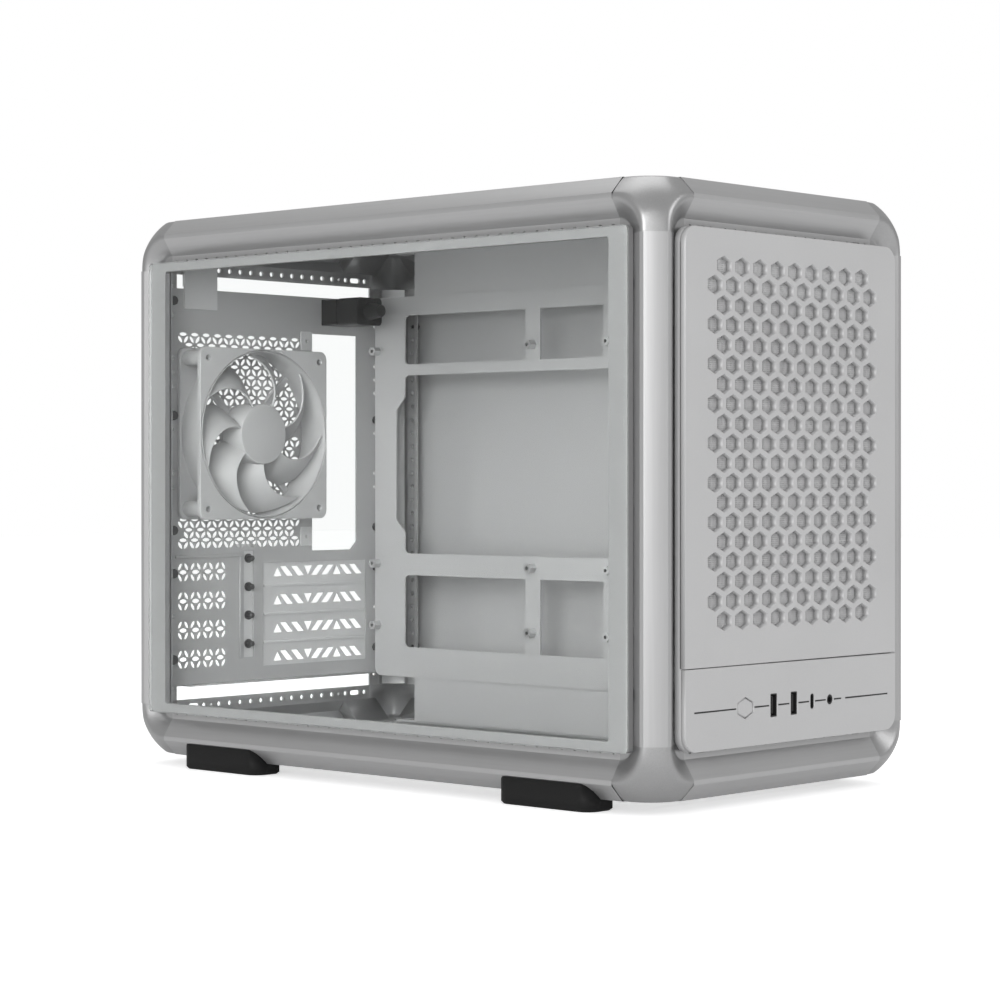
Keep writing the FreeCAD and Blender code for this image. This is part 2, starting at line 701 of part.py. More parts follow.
def port_shell(size, x, radius, tongue, back):
    front = SEAM_DEEP / 2
    body = block(FRONT_SIDE, rectangle(size[0], size[1], x, PORT_Z), front, back, radius)
    width, height = size[0] - 2 * SHELL_WALL, size[1] - 2 * SHELL_WALL
    inner_round = max(radius - SHELL_WALL, 0)
    pocket = block(FRONT_SIDE, rectangle(width, height, x, PORT_Z), front, back - 1, inner_round)
    blade = block(FRONT_SIDE, rectangle(tongue, height - 4 * SHELL_WALL, x, PORT_Z), front + 1, back)
    return joined(body.cut(pocket), blade)


def audio_jack():
    back = FRONT_FACE + BOARD_STANDS
    barrel = rod(FRONT_SIDE, AUDIO_X, PORT_Z, AUDIO_WIDE / 2, SEAM_DEEP / 2, back)
    case = block(FRONT_SIDE, rectangle(AUDIO_CASE, AUDIO_CASE, AUDIO_X, PORT_Z), FRONT_FACE + 0.5, back)
    bore = rod(FRONT_SIDE, AUDIO_X, PORT_Z, AUDIO_BORE / 2, 0, back - 1)
    return joined(barrel, case).cut(bore)


def left_glass():
    return block(LEFT_SIDE, rectangle(SIDE_WIDE, PANEL_HEIGHT), 0, GLASS, GLASS_ROUND)


def left_glass_frame():
    window = rectangle(SIDE_WIDE - 2 * GLASS_SIDE_BAR, PANEL_HEIGHT - 2 * GLASS_END_BAR)
    wires = [
        outline(rectangle(SIDE_WIDE, PANEL_HEIGHT), LEFT_SIDE, GLASS, GLASS_ROUND),
        outline(window, LEFT_SIDE, GLASS, 2.0),
    ]
    return slab(LEFT_SIDE, wires, GLASS, PANEL_DEPTH)


def right_panel():
    return pan(RIGHT_SIDE, SIDE_WIDE, PANEL_HEIGHT, PANEL_DEPTH, SHEET, SHEET, PANEL_ROUND)


def top_panel():
    window = rectangle(FRONT_WIDE - 2 * TOP_BORDER, LONG_BEAM - 2 * TOP_BORDER)
    holes = [outline(window, TOP_SIDE, 0, TOP_BORDER / 4)]
    return pan(TOP_SIDE, FRONT_WIDE, LONG_BEAM, TOP_DEPTH, TOP_FACE, TOP_RIM, PANEL_ROUND, holes)


def dust_filter(place, start):
    """Filter frame with a plain grid welded in."""
    outer = rectangle(FILTER_WIDE, FILTER_LONG)
    inner = rectangle(FILTER_WIDE - 2 * FILTER_BAR, FILTER_LONG - 2 * FILTER_BAR)
    frame = slab(place, [outline(outer, place, start, 4.0), outline(inner, place, start, 2.0)],
                 start, start + FILTER_THICK)
    middle = start + (FILTER_THICK - FILTER_MESH) / 2
    cell_a = (FILTER_WIDE - 2 * FILTER_BAR) / FILTER_CELLS[0]
    cell_b = (FILTER_LONG - 2 * FILTER_BAR) / FILTER_CELLS[1]
    wires = [outline(inner, place, middle, 2.0)]
    for i in range(FILTER_CELLS[0]):
        for j in range(FILTER_CELLS[1]):
            mid_a = (i - (FILTER_CELLS[0] - 1) / 2) * cell_a
            mid_b = (j - (FILTER_CELLS[1] - 1) / 2) * cell_b
            opening = rectangle(cell_a - FILTER_RIB, cell_b - FILTER_RIB, mid_a, mid_b)
            wires.append(outline(opening, place, middle))
    return joined(frame, slab(place, wires, middle, middle + FILTER_MESH))


def stud(place, a, b, back):
    """Pin in a flange hole with a collar under the panel."""
    collar = block(place, regular(6, STUD_COLLAR, a, b), back, back + STANDOFF)
    pin = block(place, regular(6, STUD_PIN, a, b), back + STANDOFF - 0.5, back + STANDOFF + STUD_PIN_LONG)
    return joined(collar, pin)


def panel_studs():
    studs = []
    for up in (-1, 1):
        for across in (-1, 1):
            studs.append(stud(FRONT_SIDE, across * HOLE_X, up * STUD_Z, PANEL_DEPTH))
            studs.append(stud(LEFT_SIDE, across * HOLE_Y, up * STUD_Z, PANEL_DEPTH))
            studs.append(stud(RIGHT_SIDE, across * HOLE_Y, up * STUD_Z, PANEL_DEPTH))
            studs.append(stud(TOP_SIDE, across * HOLE_X, up * STUD_TOP_Y, TOP_DEPTH))
    return Part.makeCompound(studs)


# Rear panel and what it carries

def slot_levels():
    return [SLOT_FIRST_Z - i * SLOT_PITCH for i in range(SLOT_COUNT)]


def rear_panel():
    place = REAR_SIDE
    tall, wide = REAR_HEIGHT / 2, REAR_WIDE / 2
    inset = 3.0
    io = [
        (IO_LEFT, IO_BOTTOM),
        (IO_RIGHT - 2 * inset, IO_BOTTOM),
        (IO_RIGHT, IO_BOTTOM + 2 * inset),
        (IO_RIGHT, IO_TOP),
        (IO_LEFT, IO_TOP),
    ]
    holes = [
        outline(io, place),
        ring(place, FAN_X, FAN_Z, FAN_VENT),
        outline(rectangle(INLET_BODY[0] + 1, INLET_BODY[1], INLET_X, INLET_Z), place),
    ]
    for row, z in enumerate(VENT_ROWS_Z):
        first = VENT_LEFT + row % 2 * VENT_PITCH / 2
        for i in range(VENT_COLUMNS - row % 2):
            holes.append(outline(regular(6, VENT_WIDE, first + i * VENT_PITCH, z, 30.0), place))
    window_wide = SLOT_RIGHT - SLOT_LEFT - 2 * SLOT_WINDOW_EDGE
    for z in slot_levels():
        for i in range(STAR_COLUMNS):
            star = regular(6, STAR_WIDE, VENT_LEFT + i * STAR_PITCH, z + STAR_RISE, 30.0)
            holes.append(outline(star, place))
        window = rectangle(window_wide, SLOT_WINDOW_TALL, (SLOT_LEFT + SLOT_RIGHT) / 2, z)
        holes.append(outline(window, place))
    for z in REAR_SCREW_Z:
        for side in (-1, 1):
            holes.append(outline(regular(6, HOLE_WIDE, side * HOLE_X, z), place))
    for a in (-1, 1):
        for b in (-1, 1):
            fan_a, fan_b = FAN_X + a * FAN_HOLES / 2, FAN_Z + b * FAN_HOLES / 2
            holes.append(outline(regular(8, FAN_HOLE, fan_a, fan_b), place))
    sheet = slab(place, [outline(rectangle(2 * wide, 2 * tall), place, 0, 2.0)] + holes, 0, SHEET)
    edge = rectangle(SHORT_BEAM - LEG / 4, SHEET, 0, SHEET / 2 - tall)
    lip = block(place, edge, SHEET / 2, REAR_LIP)
    return joined(sheet, lip)


def slot_cover(level):
    """Vented blank over one expansion slot, with its end folded inwards."""
    place = REAR_SIDE
    mid = (SLOT_LEFT + SLOT_RIGHT) / 2
    body = block(place, rectangle(SLOT_RIGHT - SLOT_LEFT, SLOT_COVER_TALL, mid, level), -SHEET, 0, 1.0)
    half = SLOT_CUT_TALL / 2
    cuts = []
    x = SLOT_CUT_LEFT
    pattern = ("up", "left", "left", "down", "right", "right", "up")
    slant, step = SLOT_CUT_SLANT, SLOT_CUT_STEP
    for kind in pattern:
        low, high = level - half, level + half
        if kind == "up":
            points = [(x, low), (x + SLOT_CUT_WIDE, low), (x + SLOT_CUT_WIDE / 2, high)]
        elif kind == "down":
            points = [(x, high), (x + SLOT_CUT_WIDE / 2, low), (x + SLOT_CUT_WIDE, high)]
        elif kind == "left":
            points = [(x + slant, low), (x + slant + step, low), (x + step, high), (x, high)]
        else:
            points = [(x, low), (x + step, low), (x + slant + step, high), (x + slant, high)]
        cuts.append(block(place, points, -2 * SHEET, SHEET))
        x += SLOT_CUT_PITCH
    return body.cut(cuts)


def slot_covers():
    return Part.makeCompound([slot_cover(z) for z in slot_levels()])


def slot_channel():
    """Channel outside the panel that the slot thumb screws sit in."""
    levels = slot_levels()
    middle = (levels[0] + levels[-1]) / 2 + SLOT_PITCH / 2
    height = SLOT_COUNT * SLOT_PITCH
    plan = plane(REAR_SIDE(0, middle - height / 2), RIGHTWARD, BACKWARD, UPWARD)
    half = CHANNEL_WIDE / 2
    points = [
        (CHANNEL_X - half, 0),
        (CHANNEL_X + half, 0),
        (CHANNEL_X + half, CHANNEL_DEEP),
        (CHANNEL_X + half - SHEET, CHANNEL_DEEP),
        (CHANNEL_X + half - SHEET, SHEET),
        (CHANNEL_X - half + SHEET, SHEET),
        (CHANNEL_X - half + SHEET, CHANNEL_DEEP),
        (CHANNEL_X - half, CHANNEL_DEEP),
    ]
    return block(plan, points, 0, height)


def slot_thumb_screws():
    return Part.makeCompound([
        rod(REAR_SIDE, CHANNEL_X, z + SLOT_PITCH / 2, THUMB_HEAD / 2, -SHEET - THUMB_TALL, -SHEET)
        for z in slot_levels()
    ])


def rear_screws():
    """Pan-head screws from inside the rear panel into the post flanges."""
    screws = []
    for z in REAR_SCREW_Z:
        for side in (-1, 1):
            across = side * HOLE_X
            start, end = SHEET + 0.5 - SCREW_LONG, SHEET + 0.5
            head = block(REAR_SIDE, regular(8, SCREW_HEAD, across, z), SHEET, SHEET + SCREW_HEAD_TALL)
            shank = block(REAR_SIDE, regular(6, SCREW_SHANK, across, z), start, end)
            screws.append(joined(head, shank))
    return Part.makeCompound(screws)


def rear_top_bracket():
    """Tab that ties the rear panel's top edge to the flange of the beam above it."""
    side = plane(Vector(VENT_LEFT, REAR_Y, MID_Z), BACKWARD * -1, UPWARD, RIGHTWARD)
    tall = REAR_HEIGHT / 2
    top = POST / 2 + TAB_RISE
    points = [
        (SHEET, tall - TAB_LAP),
        (SHEET + TAB_SHEET, tall - TAB_LAP),
        (SHEET + TAB_SHEET, top),
        (0, top),
        (0, tall + TAB_SHEET),
        (SHEET, tall + TAB_SHEET),
    ]
    return block(side, points, 0, TAB_WIDE)


# Fan

def fan_frame():
    place = FAN_SIDE
    half = FAN_SIZE / 2
    bore = FAN_BORE / 2
    parts = []
    for start in (0, FAN_DEPTH - FAN_FLANGE):
        square = outline(rectangle(FAN_SIZE, FAN_SIZE), place, start, FAN_ROUND)
        parts.append(slab(place, [square, ring(place, 0, 0, bore, start)], start, start + FAN_FLANGE))
    wires = [ring(place, 0, 0, half - 0.2, 0), ring(place, 0, 0, bore, 0)]
    parts.append(slab(place, wires, 0, FAN_DEPTH))
    for a in (-1, 1):
        for b in (-1, 1):
            mid_a, mid_b = a * FAN_HOLES / 2, b * FAN_HOLES / 2
            parts.append(rod(place, mid_a, mid_b, FAN_BOSS / 2, 0, FAN_DEPTH))
    parts.append(rod(place, 0, 0, HUB_WIDE / 2, 0, STRUT_THICK))
    parts.append(rod(place, 0, 0, SHAFT / 2 + SHAFT_CLEARANCE + BEARING_WALL, 0, SHAFT_LONG))
    for i in range(STRUTS):
        turn = math.radians(45 + 360 / STRUTS * i)
        along, side = Vector(math.cos(turn), math.sin(turn), 0), Vector(-math.sin(turn), math.cos(turn), 0)
        points = []
        for reach, offset in ((10, -1), (bore + 1, -1), (bore + 1, 1), (10, 1)):
            corner = along * reach + side * (offset * STRUT_WIDE / 2)
            points.append((corner.x, corner.y))
        parts.append(block(place, points, 0, STRUT_THICK))
    body = joined(parts[0], *parts[1:])
    drills = [rod(place, 0, 0, SHAFT / 2 + SHAFT_CLEARANCE, -1, FAN_DEPTH)]
    for a in (-1, 1):
        for b in (-1, 1):
            drills.append(rod(place, a * FAN_HOLES / 2, b * FAN_HOLES / 2, FAN_HOLE / 2, -1, FAN_DEPTH + 1))
    return body.cut(drills)


def blade(place, number):
    """Swept and twisted blade, lofted from its root to its tip."""
    start = 360.0 / BLADES * number
    wires = []
    steps = 3
    back, front = STRUT_THICK + HUB_GAP + 1.5, FAN_DEPTH - 1.5
    for step in range(steps + 1):
        part = step / steps
        reach = HUB_WIDE / 2 - 1 + (BLADE_TIP / 2 - HUB_WIDE / 2 + 1) * part
        sweep = start + BLADE_SWEEP * part * part
        spread = math.radians(BLADE_TWIST + 8 * part)
        turn = math.radians(sweep)
        corners = []
        for depth, side, edge in ((back, -0.5, 0), (back, -0.5, 1), (front, 0.5, 1), (front, 0.5, 0)):
            across = reach * spread * side + BLADE_THICK * edge
            a = reach * math.cos(turn) - across * math.sin(turn)
            b = reach * math.sin(turn) + across * math.cos(turn)
            corners.append(place(a, b, depth))
        wires.append(Part.makePolygon(corners + corners[:1]))
    return Part.makeLoft(wires, True, True)


def fan_rotor():
    """Cup-shaped hub with its blades and a shaft that runs in the frame's bearing."""
    place = FAN_SIDE
    start, end = STRUT_THICK + HUB_GAP, FAN_DEPTH - 1
    cup = rod(place, 0, 0, HUB_WIDE / 2, start, end)
    cup = cup.cut(rod(place, 0, 0, HUB_WIDE / 2 - HUB_WALL, start - 1, end - HUB_FACE))
    shaft = rod(place, 0, 0, SHAFT / 2, HUB_GAP, end - HUB_FACE / 2)
    blades = [blade(place, i) for i in range(BLADES)]
    tool = rod(place, 0, 0, HUB_WIDE / 2 - HUB_WALL, start - 1, end - HUB_FACE)
    sweep = rod(place, 0, 0, BLADE_TIP / 2, start - 1, end + 1)
    blades = [one.cut(tool).common(sweep) for one in blades]
    return joined(cup, shaft, *blades)


def fan_screws():
    screws = []
    for a in (-1, 1):
        for b in (-1, 1):
            mid_a, mid_b = a * FAN_HOLES / 2, b * FAN_HOLES / 2
            head = block(FAN_SIDE, regular(8, FAN_HEAD, mid_a, mid_b), -SHEET - SCREW_HEAD_TALL, -SHEET)
            shank = block(FAN_SIDE, regular(6, FAN_HOLE - 0.8, mid_a, mid_b), -SHEET - 0.5, 8)
            screws.append(joined(head, shank))
    return Part.makeCompound(screws)


# Board tray

def motherboard_tray():
    """Upright sheet on the right: two legs and two arms round a large cable opening."""
    place = TRAY_SIDE
    outer = [
        (TRAY_FRONT, TRAY_BOTTOM),
        (TRAY_REAR, TRAY_BOTTOM),
        (TRAY_REAR, TRAY_TOP),
        (TRAY_FRONT, TRAY_TOP),
    ]
    left, right = TRAY_FRONT + TRAY_FRONT_LEG, TRAY_REAR - TRAY_LEG
    shallow = TRAY_REAR - TRAY_LEG_THIN
    slant = TRAY_LEG - TRAY_LEG_THIN
    middle = [
        (left, ARM_LOW[1]),
        (right, ARM_LOW[1]),
        (right, NOTCH_BOTTOM - slant),
        (shallow, NOTCH_BOTTOM),
        (shallow, NOTCH_TOP),
        (right, NOTCH_TOP + slant),
        (right, ARM_TOP[0]),
        (left, ARM_TOP[0]),
    ]
    wires = [outline(outer, place, 0, TRAY_ROUND), outline(middle, place, 0, TRAY_CORNER)]
    for bottom, top in ((ARM_TOP[1], TRAY_TOP - TRAY_TOP_BAR), (TRAY_BOTTOM + TRAY_LOW_BAR, ARM_LOW[0])):
        window = rectangle(right - left, top - bottom, (left + right) / 2, (top + bottom) / 2)
        wires.append(outline(window, place, 0, TRAY_CORNER))
    sheet = slab(place, wires, 0, TRAY_SHEET)
    strips = []
    for row in BOARD_ROWS_Y[1:]:
        y = BOARD_FIRST_Y - row
        for bottom, top in ((ARM_TOP[0], TRAY_TOP - TRAY_CORNER), (TRAY_BOTTOM + TRAY_CORNER, ARM_LOW[1])):
            strip = rectangle(TRAY_STRIP, top - bottom, y, (top + bottom) / 2)
            strips.append(block(place, strip, 0, TRAY_SHEET))
    return joined(sheet, *strips)


def standoff_places():
    return [(BOARD_FIRST_Y - dy, BOARD_FIRST_Z + dz) for dy in BOARD_ROWS_Y for dz in BOARD_COLUMNS_Z]


def standoffs():
    posts = []
    for y, z in standoff_places():
        wires = [
            outline(regular(6, STANDOFF_FLATS, y, z), TRAY_SIDE, -STANDOFF_LONG),
            ring(TRAY_SIDE, y, z, STANDOFF_HOLE / 2, -STANDOFF_LONG),
        ]
        posts.append(slab(TRAY_SIDE, wires, -STANDOFF_LONG, 0))
    return Part.makeCompound(posts)


def tray_bracket(up):
    """Angle that carries the tray on a rail of the right-hand beam."""
    flange = FLANGE_Z - WALL - RAIL_THICK
    side = plane(Vector(TRAY_X + TRAY_SHEET, 0, MID_Z), RIGHTWARD, UPWARD, BACKWARD)
    reach = SHORT_BEAM / 2 + TRAY_ANGLE_REACH - TRAY_X - TRAY_SHEET
    inner = TRAY_TOP - TRAY_ANGLE_LAP[0 if up > 0 else 1]
    points = [
        (0, up * inner),
        (TRAY_SHEET, up * inner),
        (TRAY_SHEET, up * (flange - TRAY_SHEET)),
        (reach, up * (flange - TRAY_SHEET)),
        (reach, up * flange),
        (0, up * flange),
    ]
    return block(side, points, TRAY_FRONT + TRAY_ANGLE_ENDS[0], TRAY_REAR - TRAY_ANGLE_ENDS[1])


# Rails and front plates

def rail(side, up):
    """Flat bar along the inner face of a horizontal flange."""
    level = up * (FLANGE_Z - WALL)
    plan = plane(Vector(side * (HOLE_X - RAIL_GAP), 0, MID_Z + level), RIGHTWARD, BACKWARD, UPWARD * -up)
    return block(plan, rectangle(RAIL_WIDE, RAIL_LONG), 0, RAIL_THICK, RAIL_WIDE / 2 - 0.5)


def cross_rail(level):
    """Bar across the front whose bent ends lie on the posts' side flanges."""
    reach = FLANGE_X - WALL
    row = FRONT + LEG
    depth = CROSS_TAB
    points = [
        (-reach, row - depth),
        (-reach, row),
        (reach, row),
        (reach, row - depth),
        (reach - CROSS_SHEET, row - depth),
        (reach - CROSS_SHEET, row - CROSS_SHEET),
        (CROSS_SHEET - reach, row - CROSS_SHEET),
        (CROSS_SHEET - reach, row - depth),
    ]
    return block(FLOOR_PLAN, points, level - CROSS_TALL / 2, level + CROSS_TALL / 2)


def front_inner_plate():
    """Vented plate on the inner side of the front posts."""
    place = plane(Vector(0, -REAR_Y, MID_Z), RIGHTWARD, UPWARD, BACKWARD)
    wide = 2 * HOLE_X + 8
    height = INNER_TOP - INNER_BOTTOM
    middle = (INNER_TOP + INNER_BOTTOM) / 2
    window_tall = (height - 2 * INNER_BORDER - INNER_BAR) / 2
    window_wide = 2 * (FRAME_X / 2 - LEG) - 2 * INNER_BORDER
    wires = [outline(rectangle(wide, height, 0, middle), place, 0, 2.0)]
    for side in (-1, 1):
        level = middle + side * (window_tall + INNER_BAR) / 2
        wires.append(outline(rectangle(window_wide, window_tall, 0, level), place, 0, 4.0))
    return slab(place, wires, 0, SHEET)


def psu_bracket():
    """Plate that a small power supply screws to, hung from the cross rails."""
    place = plane(Vector(0, FRONT + LEG, MID_Z), RIGHTWARD, UPWARD, BACKWARD)
    high = CROSS_HIGH_Z + CROSS_TALL / 2
    low = CROSS_LOW_Z - CROSS_TALL / 2
    points = [
        (PSU_LEFT, low),
        (PSU_RIGHT - PSU_CUT, low),
        (PSU_RIGHT, low + PSU_CUT),
        (PSU_RIGHT, high),
        (PSU_LEFT, high),
    ]
    mid_a, mid_b = (PSU_LEFT + PSU_RIGHT) / 2, (PSU_TOP + PSU_BOTTOM) / 2
    wires = [outline(points, place), outline(rectangle(*PSU_WINDOW, mid_a, mid_b), place, 0, 5.0)]
    for a, b in rectangle(*PSU_HOLES, mid_a, mid_b):
        wires.append(ring(place, a, b, PSU_HOLE / 2))
    return slab(place, wires, 0, PSU_SHEET)


def power_inlet():
    """Mains inlet with its flange outside the rear panel."""
    place = REAR_SIDE
    flange = block(place, rectangle(*INLET_FLANGE, INLET_X, INLET_Z), -INLET_FLANGE_THICK, 0, 3.0)
    body = block(place, rectangle(*INLET_BODY, INLET_X, INLET_Z), -1, INLET_DEEP, INLET_WALL)
    inner = rectangle(INLET_BODY[0] - 2 * INLET_WALL, INLET_BODY[1] - 2 * INLET_WALL, INLET_X, INLET_Z)
    pocket = block(place, inner, *INLET_POCKET, INLET_WALL)
    pins = [block(place, rectangle(*INLET_PIN, INLET_X + dx, INLET_Z + dz), 0, INLET_POCKET[1] + 1)
            for dx, dz in INLET_PINS]
    return joined(joined(flange, body).cut(pocket), *pins)


def power_plug():
    """Straight plug of the inner lead, seated on the inlet."""
    end = INLET_DEEP + PLUG_HEAD[2]
    wide = rectangle(PLUG_HEAD[0], PLUG_HEAD[1], INLET_X, INLET_Z)
    head = block(REAR_SIDE, wide, INLET_DEEP, end, PLUG_HEAD_ROUND)
    start = REAR_SIDE(INLET_X, INLET_Z, end)
    neck = Part.makeCone(NECK_WIDE / 2, NECK_END / 2, NECK_LONG, start, BACKWARD * -1)
    return joined(head, neck)


def build():
    """Every piece under its node name."""
    pieces = {}
    short, long_one, upright, bracket, pad = short_beam(), long_beam(), post(), corner_bracket(), foot()
    for end, turn_y in (("front", False), ("rear", True)):
        for level, turn_z in (("bottom", False), ("top", True)):
            shape = mirrored(short, BACKWARD) if turn_y else short
            pieces[f"beam_{end}_{level}"] = mirrored(shape, UPWARD) if turn_z else shape
    for side, turn_x in (("left", False), ("right", True)):
        for level, turn_z in (("bottom", False), ("top", True)):
            shape = mirrored(long_one, RIGHTWARD) if turn_x else long_one
            pieces[f"beam_{side}_{level}"] = mirrored(shape, UPWARD) if turn_z else shape
        for end, turn_y in (("front", False), ("rear", True)):
            column = mirrored(upright, RIGHTWARD) if turn_x else upright
            pieces[f"post_{side}_{end}"] = mirrored(column, BACKWARD) if turn_y else column
            rubber = mirrored(pad, RIGHTWARD) if turn_x else pad
            pieces[f"foot_{side}_{end}"] = mirrored(rubber, BACKWARD) if turn_y else rubber
            for level, turn_z in (("bottom", False), ("top", True)):
                corner = mirrored(bracket, RIGHTWARD) if turn_x else bracket
                corner = mirrored(corner, BACKWARD) if turn_y else corner
                pieces[f"corner_{side}_{end}_{level}"] = mirrored(corner, UPWARD) if turn_z else corner
    for level, up in (("bottom", -1), ("top", 1)):
        pieces[f"{level}_rails"] = Part.makeCompound([rail(side, up) for side in (-1, 1)])
    pieces["front_panel"] = front_panel()
    pieces["front_mesh"] = front_mesh()
    pieces["power_button"] = power_button()
    pieces["button_guide"] = button_guide()
    pieces["port_board"] = port_board()
    pieces["usb_ports"] = usb_ports()
    pieces["audio_jack"] = audio_jack()
    pieces["left_glass"] = left_glass()
    pieces["left_glass_frame"] = left_glass_frame()
    pieces["right_panel"] = right_panel()
    pieces["top_panel"] = top_panel()
    pieces["top_filter"] = dust_filter(TOP_SIDE, TOP_FACE)
    pieces["bottom_filter"] = dust_filter(BOTTOM_SIDE, FILTER_GAP)
    pieces["panel_studs"] = panel_studs()
    pieces["rear_panel"] = rear_panel()
    pieces["rear_top_bracket"] = rear_top_bracket()
    pieces["rear_screws"] = rear_screws()
    pieces["slot_covers"] = slot_covers()
    pieces["slot_channel"] = slot_channel()
    pieces["slot_thumb_screws"] = slot_thumb_screws()
    pieces["fan_frame"] = fan_frame()
    pieces["fan_rotor"] = fan_rotor()
    pieces["fan_screws"] = fan_screws()
    pieces["motherboard_tray"] = motherboard_tray()
    pieces["standoffs"] = standoffs()
    pieces["tray_upper_bracket"] = tray_bracket(1)
    pieces["tray_lower_bracket"] = tray_bracket(-1)
    pieces["cross_rail_upper"] = cross_rail(CROSS_HIGH_Z)
    pieces["cross_rail_lower"] = cross_rail(CROSS_LOW_Z)
    pieces["front_inner_plate"] = front_inner_plate()
    pieces["psu_bracket"] = psu_bracket()
    pieces["power_inlet"] = power_inlet()
    pieces["power_plug"] = power_plug()
    return pieces


def main():
    os.makedirs("parts", exist_ok=True)
    for name, shape in build().items():
        placed = shape.copy()
        placed.translate(Vector(0, SHIFT_Y, 0))
        placed.exportStep(f"parts/{name}.step")


main()
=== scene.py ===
import bpy
import bmesh
import math
from mathutils import Matrix, Vector


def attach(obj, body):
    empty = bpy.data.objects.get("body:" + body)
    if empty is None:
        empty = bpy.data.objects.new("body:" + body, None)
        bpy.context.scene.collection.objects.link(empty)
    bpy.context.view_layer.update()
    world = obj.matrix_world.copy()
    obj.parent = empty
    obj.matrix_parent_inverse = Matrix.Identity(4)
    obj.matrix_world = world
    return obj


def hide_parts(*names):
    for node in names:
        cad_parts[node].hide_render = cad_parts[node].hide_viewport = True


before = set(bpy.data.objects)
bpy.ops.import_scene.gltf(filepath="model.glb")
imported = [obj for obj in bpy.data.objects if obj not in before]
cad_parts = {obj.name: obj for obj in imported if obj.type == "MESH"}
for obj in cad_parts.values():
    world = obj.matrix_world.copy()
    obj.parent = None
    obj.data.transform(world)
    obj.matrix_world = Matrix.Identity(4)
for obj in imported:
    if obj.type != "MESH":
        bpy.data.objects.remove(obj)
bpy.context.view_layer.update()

# Lengths below are in millimetres, in the frame of the case, and MM brings them to metres
MM = 0.001
CHASSIS, BUTTON, ROTOR = "chassis", "power_button", "fan_rotor"
FRAME_HALF = Vector((128.0, 234.0, 182.5))
MID_Z = 190.0
BACK_SHIFT = 1.75
LEG, CHAMFER, RIDGE, SLOPE_RUN, SLOPE_DEPTH, WALL, TUBE = 34.0, 10.0, 3.0, 11.5, 7.5, 1.6, 4.2
HOLE_ROW, HOLE, PITCH = 29.25, 3.6, 10.0
PANEL_WIDE, PANEL_TALL, GLASS_LONG, REAR_TALL = 213.0, 306.0, 425.0, 277.6
PORT_Z, BUTTON_X, SEAM_Z = -130.0, -49.4, -104.4
SLOT_FIRST, SLOT_PITCH, SLOT_LEFT, SLOT_WIDE, CHANNEL_X = -61.0, 20.32, -17.0, 109.0, -28.0
FAN_X, FAN_Z, FAN_SIZE, FAN_HOLES, FAN_DEPTH = -35.0, 37.5, 120.0, 52.5, 25.0
LENGTHS = {"short": 188.0, "long": 400.0, "post": 297.0}
RIGHT, BACK, UP = Vector((1, 0, 0)), Vector((0, 1, 0)), Vector((0, 0, 1))
CHAMFER_LEAN = UP.rotation_difference(Vector((1, 1, 0))).to_matrix().to_4x4()
WEB_SCREWS_AT = (10.5, 25.1)
FLANGE = Vector((SLOPE_DEPTH, SLOPE_DEPTH, SLOPE_DEPTH))
FLANGE_X, FLANGE_Y, FLANGE_Z = (FRAME_HALF - FLANGE)[:]
FRONT_Y, SIDE_X, TOP_Z = 237.5, 131.5, 183.5
REAR_Y = FLANGE_Y - WALL
CENTRE = Vector((0, BACK_SHIFT, MID_Z))


# Placing

def side(origin, across, up, inward):
    """Matrix that lays (across, up, inward) millimetres on one side of the case."""
    matrix = Matrix((across, up, inward)).transposed().to_4x4()
    matrix.translation = Vector(origin) + CENTRE
    return Matrix.Scale(MM, 4) @ matrix


FRONT = side((0, -FRONT_Y, 0), RIGHT, UP, BACK)
REAR = side((0, REAR_Y, 0), RIGHT, UP, -BACK)
LEFT_SIDE = side((-SIDE_X, 0, 0), BACK, UP, RIGHT)
TOP = side((0, 0, TOP_Z), RIGHT, BACK, -UP)
BOTTOM = side((0, 0, -FLANGE_Z), RIGHT, BACK, -UP)
INNER_FRONT = side((0, -REAR_Y, 0), RIGHT, UP, BACK)


def rectangle(width, height, mid_a=0.0, mid_b=0.0):
    a, b = width / 2, height / 2
    return [(mid_a - a, mid_b - b), (mid_a + a, mid_b - b), (mid_a + a, mid_b + b), (mid_a - a, mid_b + b)]


def regular(sides, flats, mid_a, mid_b):
    reach = flats / 2 / math.cos(math.pi / sides)
    angles = [2 * math.pi * i / sides for i in range(sides)]
    return [(mid_a + reach * math.cos(t), mid_b + reach * math.sin(t)) for t in angles]


def circle(wide, mid_a, mid_b, sides=16):
    return regular(sides, wide * math.cos(math.pi / sides), mid_a, mid_b)


def rounded(points, radius, steps=3):
    """The same outline with an arc in each corner."""
    loop = []
    for i, point in enumerate(points):
        corner = Vector(point)
        before = (Vector(points[i - 1]) - corner).normalized()
        after = (Vector(points[(i + 1) % len(points)]) - corner).normalized()
        half = before.angle(after) / 2
        centre = corner + (before + after).normalized() * (radius / math.sin(half))
        start = corner + before * (radius / math.tan(half)) - centre
        turn = start.angle_signed(corner + after * (radius / math.tan(half)) - centre)
        for step in range(steps + 1):
            spun = start.copy()
            spun.rotate(Matrix.Rotation(-turn * step / steps, 2))
            loop.append((centre + spun)[:])
    return loop


def tidy(mesh, smooth=None):
    """Merge what touches, point the faces outwards and smooth the soft edges."""
    work = bmesh.new()
    work.from_mesh(mesh)
    bmesh.ops.remove_doubles(work, verts=work.verts, dist=2e-6)
    bmesh.ops.dissolve_degenerate(work, dist=1e-7, edges=work.edges)
    bmesh.ops.recalc_face_normals(work, faces=work.faces)
    work.to_mesh(mesh)
    work.free()
    if smooth is not None:
        soften(mesh, smooth)
    return mesh


def soften(mesh, degrees):
    mesh.shade_smooth()
    mesh.set_sharp_from_angle(angle=math.radians(degrees))


